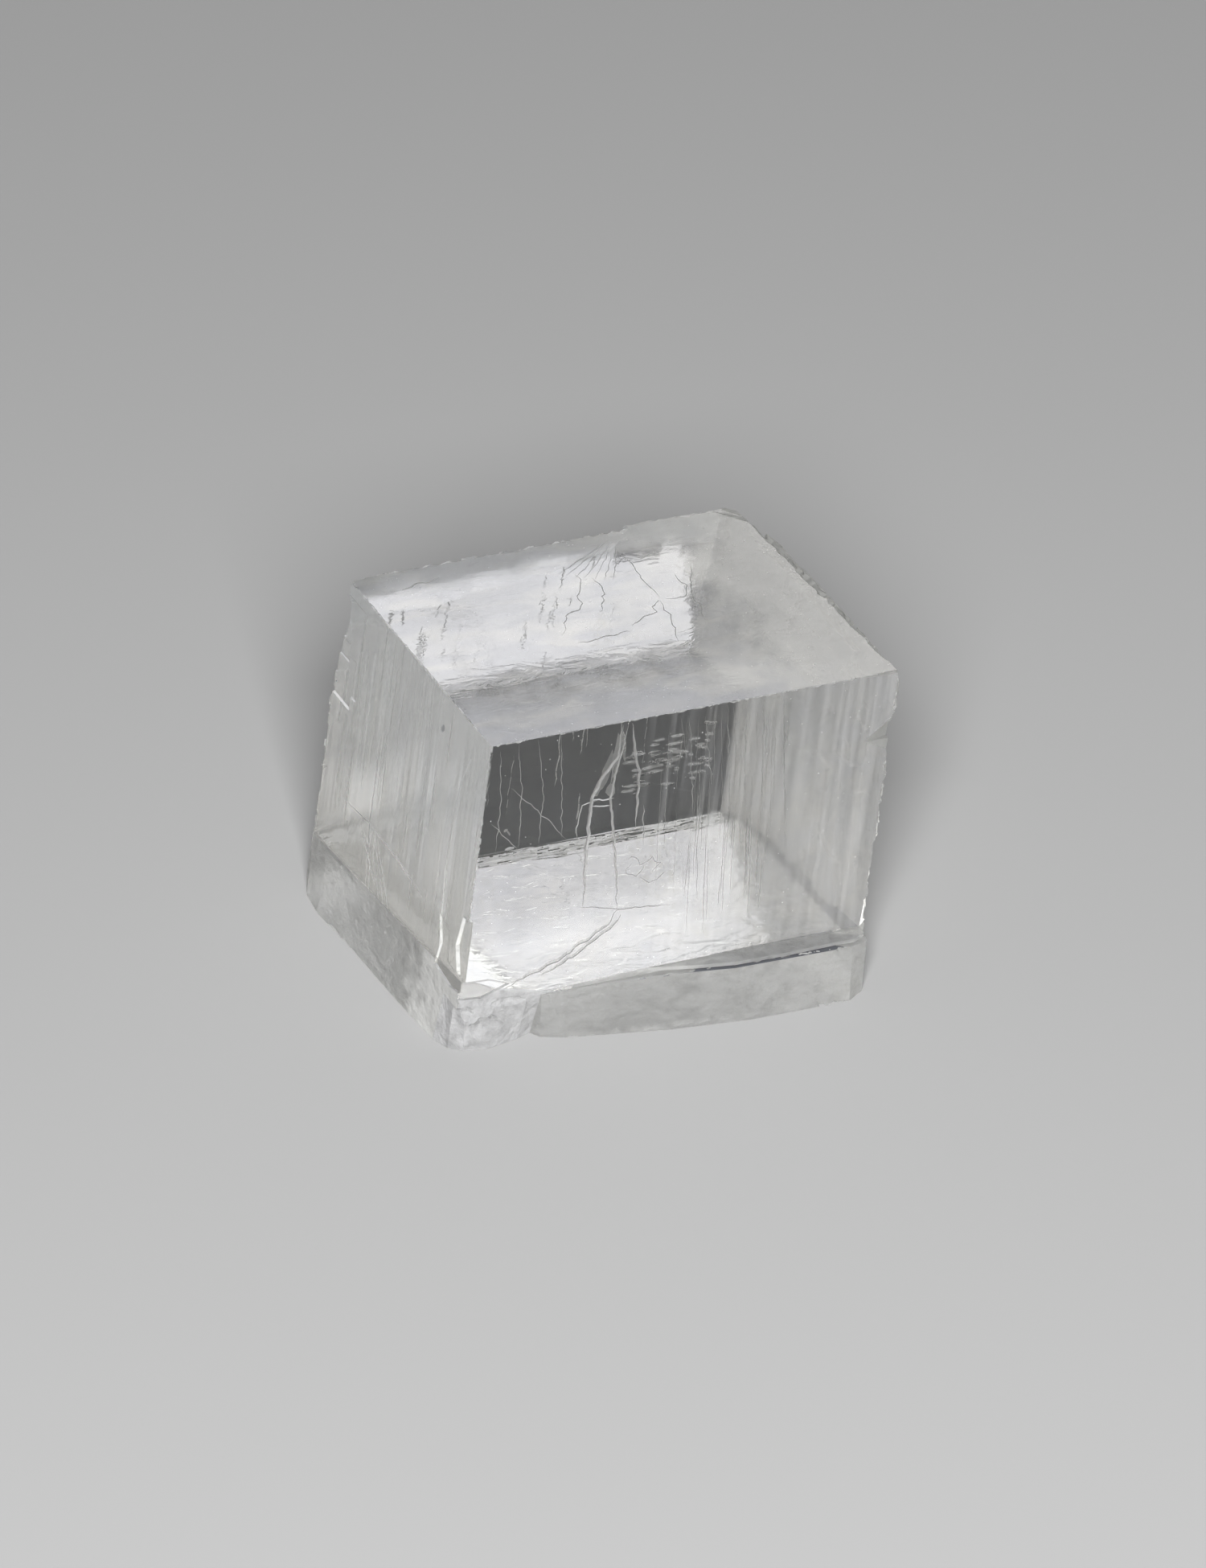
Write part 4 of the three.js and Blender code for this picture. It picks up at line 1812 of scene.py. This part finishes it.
@dataclass
class NeckFibres:
    """The torn, fibrous strip behind the opened parting, where the foot still holds.

    Attributes:
        bench: the workbench.
        span: lowest p, highest p, lowest q and highest q.
        cell: spacing of its grid.
        level: its s.
        thick: its thickness.
        margin: how far it stays inside its span, and more or less how far it strays.
        least: noise above which a place is torn open.
        waves: height of its coarse and of its fine waves.
    """

    bench: Workbench
    span: tuple[float, float, float, float] = (0.6, 42.6, 30.9, 33.7)
    cell: float = 0.2
    level: float = 5.55
    thick: float = 0.03
    margin: float = 0.2
    least: float = -0.25
    waves: tuple[float, float] = (0.13, 0.05)

    def torn(self, p: float, q: float) -> bool:
        """Says whether the strip is open at a point.

        Args:
            p: place along the crystal.
            q: place from front to back.

        Returns:
            Whether it is.
        """
        low, high = self.span[2:]
        border = 0.25 * noise.noise((p * 0.7, 0.0, 3.0))
        fibres = noise.noise((p * 0.35, q * 4.0, 9.0)) + 0.5 * noise.noise((p * 1.2, q * 7.0, 4.0))
        inside = low + self.margin + border < q < high - self.margin + border
        return inside and fibres > self.least

    def height(self, p: float, q: float) -> float:
        """Gives the strip's height at a point.

        Args:
            p: place along the crystal.
            q: place from front to back.

        Returns:
            Its s.
        """
        coarse, fine = self.waves
        level = self.level + coarse * noise.noise((p * 0.25, q * 1.8, 7.0))
        return level + fine * noise.noise((p, q * 5.0, 1.0))

    def build(self) -> list[bpy.types.Mesh]:
        """Makes the strip.

        Returns:
            One thin closed sheet with holes.
        """
        return [self.bench.sheet(self.torn, self.height, self.thick, self.span, self.cell, Skin.VEIL)]


@dataclass
class Crystal:
    """The whole piece.

    Attributes:
        cleavage: the cleavage directions.
        bench: the workbench.
        crumb: fewest faces of a body or pocket that stays.
    """

    cleavage: Cleavage
    bench: Workbench
    crumb: int = 16

    def build(self) -> bpy.types.Object:
        """Works the block, then shears it into the row.

        Returns:
            The finished crystal.
        """
        body = ParentBlock(self.cleavage, self.bench).build()
        LOG.info("block: %d faces", len(body.polygons))
        body = self.bench.apply(body, [Parting(self.bench).build()], Operation.CUT)
        LOG.info("with its parting: %d faces", len(body.polygons))
        makers = (
            NeckFibres,
            CornerBreak,
            TopFlaws,
            FrontFlaws,
            LeftFlaws,
            HiddenFlaws,
            EdgeWear,
        )
        for maker in makers:
            body = self.bench.apply(body, maker(self.bench).build(), Operation.CUT)
            LOG.info("with %s: %d faces", maker.__name__, len(body.polygons))
        self.drop_crumbs(body)
        body.transform(self.cleavage.to_row())
        body.name = "raw_calcite"
        piece = bpy.data.objects.new("raw_calcite", body)
        bpy.context.scene.collection.objects.link(piece)
        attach(piece, "root")
        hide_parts("calcite_crystal")
        return piece

    def drop_crumbs(self, body: bpy.types.Mesh) -> None:
        """Removes loose crumbs that the cuts left, and holes as small.

        Args:
            body: the worked mesh.
        """
        shape = bmesh.new()
        shape.from_mesh(body)
        waiting = set(shape.faces)
        crumbs: list[bmesh.types.BMFace] = []
        while waiting:
            island = [waiting.pop()]
            for face in island:
                beside = {other for edge in face.edges for other in edge.link_faces} & waiting
                waiting -= beside
                island += beside
            if len(island) < self.crumb:
                crumbs += island
        bmesh.ops.delete(shape, geom=crumbs, context="FACES")
        shape.to_mesh(body)
        shape.free()


# ---- the studio ----------------------------------------------------------------------------


@dataclass(frozen=True)
class SoftBox:
    """A square area light that looks at the crystal.

    Attributes:
        azimuth: degrees from +Y towards +X, seen from above.
        height: degrees above the floor.
        distance: metres from the crystal.
        size: side in metres.
        power: watts.
        on_matt: whether it lights matt surfaces.
        in_crystal: whether it is seen in and through the crystal.
    """

    name: str
    azimuth: float
    height: float
    distance: float
    size: float
    power: float
    on_matt: bool = True
    in_crystal: bool = True

    def build(self, target: Vector) -> bpy.types.Object:
        """Places the light.

        Args:
            target: the point that it looks at.

        Returns:
            The light.
        """
        turn, rise = math.radians(self.azimuth), math.radians(self.height)
        way = Vector(
            (math.sin(turn) * math.cos(rise), math.cos(turn) * math.cos(rise), math.sin(rise))
        )
        light = bpy.data.lights.new(self.name, "AREA")
        light.size = self.size
        light.energy = self.power
        lamp = bpy.data.objects.new(self.name, light)
        bpy.context.scene.collection.objects.link(lamp)
        lamp.visible_diffuse = self.on_matt
        lamp.visible_glossy = lamp.visible_transmission = self.in_crystal
        lamp.location = target + way * self.distance
        lamp.rotation_euler = (-way).to_track_quat("-Z", "Y").to_euler()
        return lamp


@dataclass
class Studio:
    """A pale floor, soft light and the camera.

    Attributes:
        floor_half: half side of the floor in metres.
        floor_gap: how far it lies below the crystal.
        floor_colour: its colour.
        floor_rough: its roughness.
        world: strength of the room's white.
        boxes: the soft lights.
        azimuth: the camera's turn about the crystal, degrees.
        elevation: its height above the floor, degrees.
        distance: metres from the crystal.
        sideways: how far the camera and its aim are moved to the right, millimetres.
        upward: how far they are moved up the frame, millimetres.
        aim: height of the point that it is aimed by, millimetres.
        focal_pixels: focal length in pixels of the frame.
        image_height: height of the frame in pixels.
        sensor: sensor size in millimetres.
        nearest: nearest distance that the camera sees, in metres.
    """

    floor_half: float = 2.0
    floor_gap: float = 0.00003
    floor_colour: tuple[float, float, float] = (0.36, 0.36, 0.36)
    floor_rough: float = 0.8
    world: float = 0.86
    boxes: tuple[SoftBox, ...] = (
        SoftBox("table", 195.0, 42.0, 0.9, 0.45, 17.0, in_crystal=False),
        SoftBox("overhead", 20.0, 60.0, 0.9, 0.9, 1.9, on_matt=False),
    )
    azimuth: float = -16.656
    elevation: float = 39.292
    distance: float = 0.9
    sideways: float = 0.314
    upward: float = 0.373
    aim: float = 17.0
    focal_pixels: float = 10273.4
    image_height: float = 1950.0
    sensor: float = 36.0
    nearest: float = 0.01

    def build(self) -> None:
        """Lays the floor, hangs the lights and sets the camera."""
        self.lay_floor()
        target = Vector((0.0, 0.0, self.aim * MM))
        for box in self.boxes:
            box.build(target)
        world = bpy.data.worlds.new("room")
        bpy.context.scene.world = world
        world.use_nodes = True
        world.node_tree.nodes["Background"].inputs["Color"].default_value = (1.0, 1.0, 1.0, 1.0)
        world.node_tree.nodes["Background"].inputs["Strength"].default_value = self.world
        world.cycles_visibility.diffuse = False
        bpy.context.scene.cycles.caustics_refractive = True
        bpy.context.scene.view_settings.view_transform = "Standard"
        self.set_camera(target)

    def lay_floor(self) -> None:
        """Lays the plain floor."""
        shape = bmesh.new()
        bmesh.ops.create_grid(shape, x_segments=1, y_segments=1, size=self.floor_half)
        bmesh.ops.translate(shape, verts=shape.verts, vec=(0.0, 0.0, -self.floor_gap))
        mesh = bpy.data.meshes.new("floor")
        shape.to_mesh(mesh)
        shape.free()
        bench = NodeBench("floor_paper")
        bench.set(Base_Color=(*self.floor_colour, 1.0), Roughness=self.floor_rough)
        mesh.materials.append(bench.material)
        floor = bpy.data.objects.new("floor", mesh)
        bpy.context.scene.collection.objects.link(floor)

    def set_camera(self, target: Vector) -> None:
        """Sets the camera.

        Args:
            target: the point above the origin that it is aimed by.
        """
        turn, rise = math.radians(self.azimuth), math.radians(self.elevation)
        back = Vector(
            (math.sin(turn) * math.cos(rise), -math.cos(turn) * math.cos(rise), math.sin(rise))
        )
        right = Vector((math.cos(turn), math.sin(turn), 0.0))
        up = back.cross(right)
        eye = target + back * self.distance + (right * self.sideways + up * self.upward) * MM
        lens = bpy.data.cameras.new("camera")
        lens.sensor_width = self.sensor
        lens.lens = self.focal_pixels * self.sensor / self.image_height
        lens.clip_start = self.nearest
        camera = bpy.data.objects.new("camera", lens)
        camera.matrix_world = Matrix.Translation(eye) @ Matrix((right, up, back)).transposed().to_4x4()
        bpy.context.scene.collection.objects.link(camera)
        bpy.context.scene.camera = camera


def main() -> None:
    """Builds the crystal and the studio."""
    logging.basicConfig(level=logging.INFO, format="%(name)s: %(message)s")
    # Without a seed of its own, the vector noise takes the clock's.
    noise.seed_set(NOISE_SEED)
    piece = Crystal(Cleavage(), Workbench()).build()
    LOG.info("%s: %d faces", piece.name, len(piece.data.polygons))
    Studio().build()


if __name__ == "__main__":
    main()
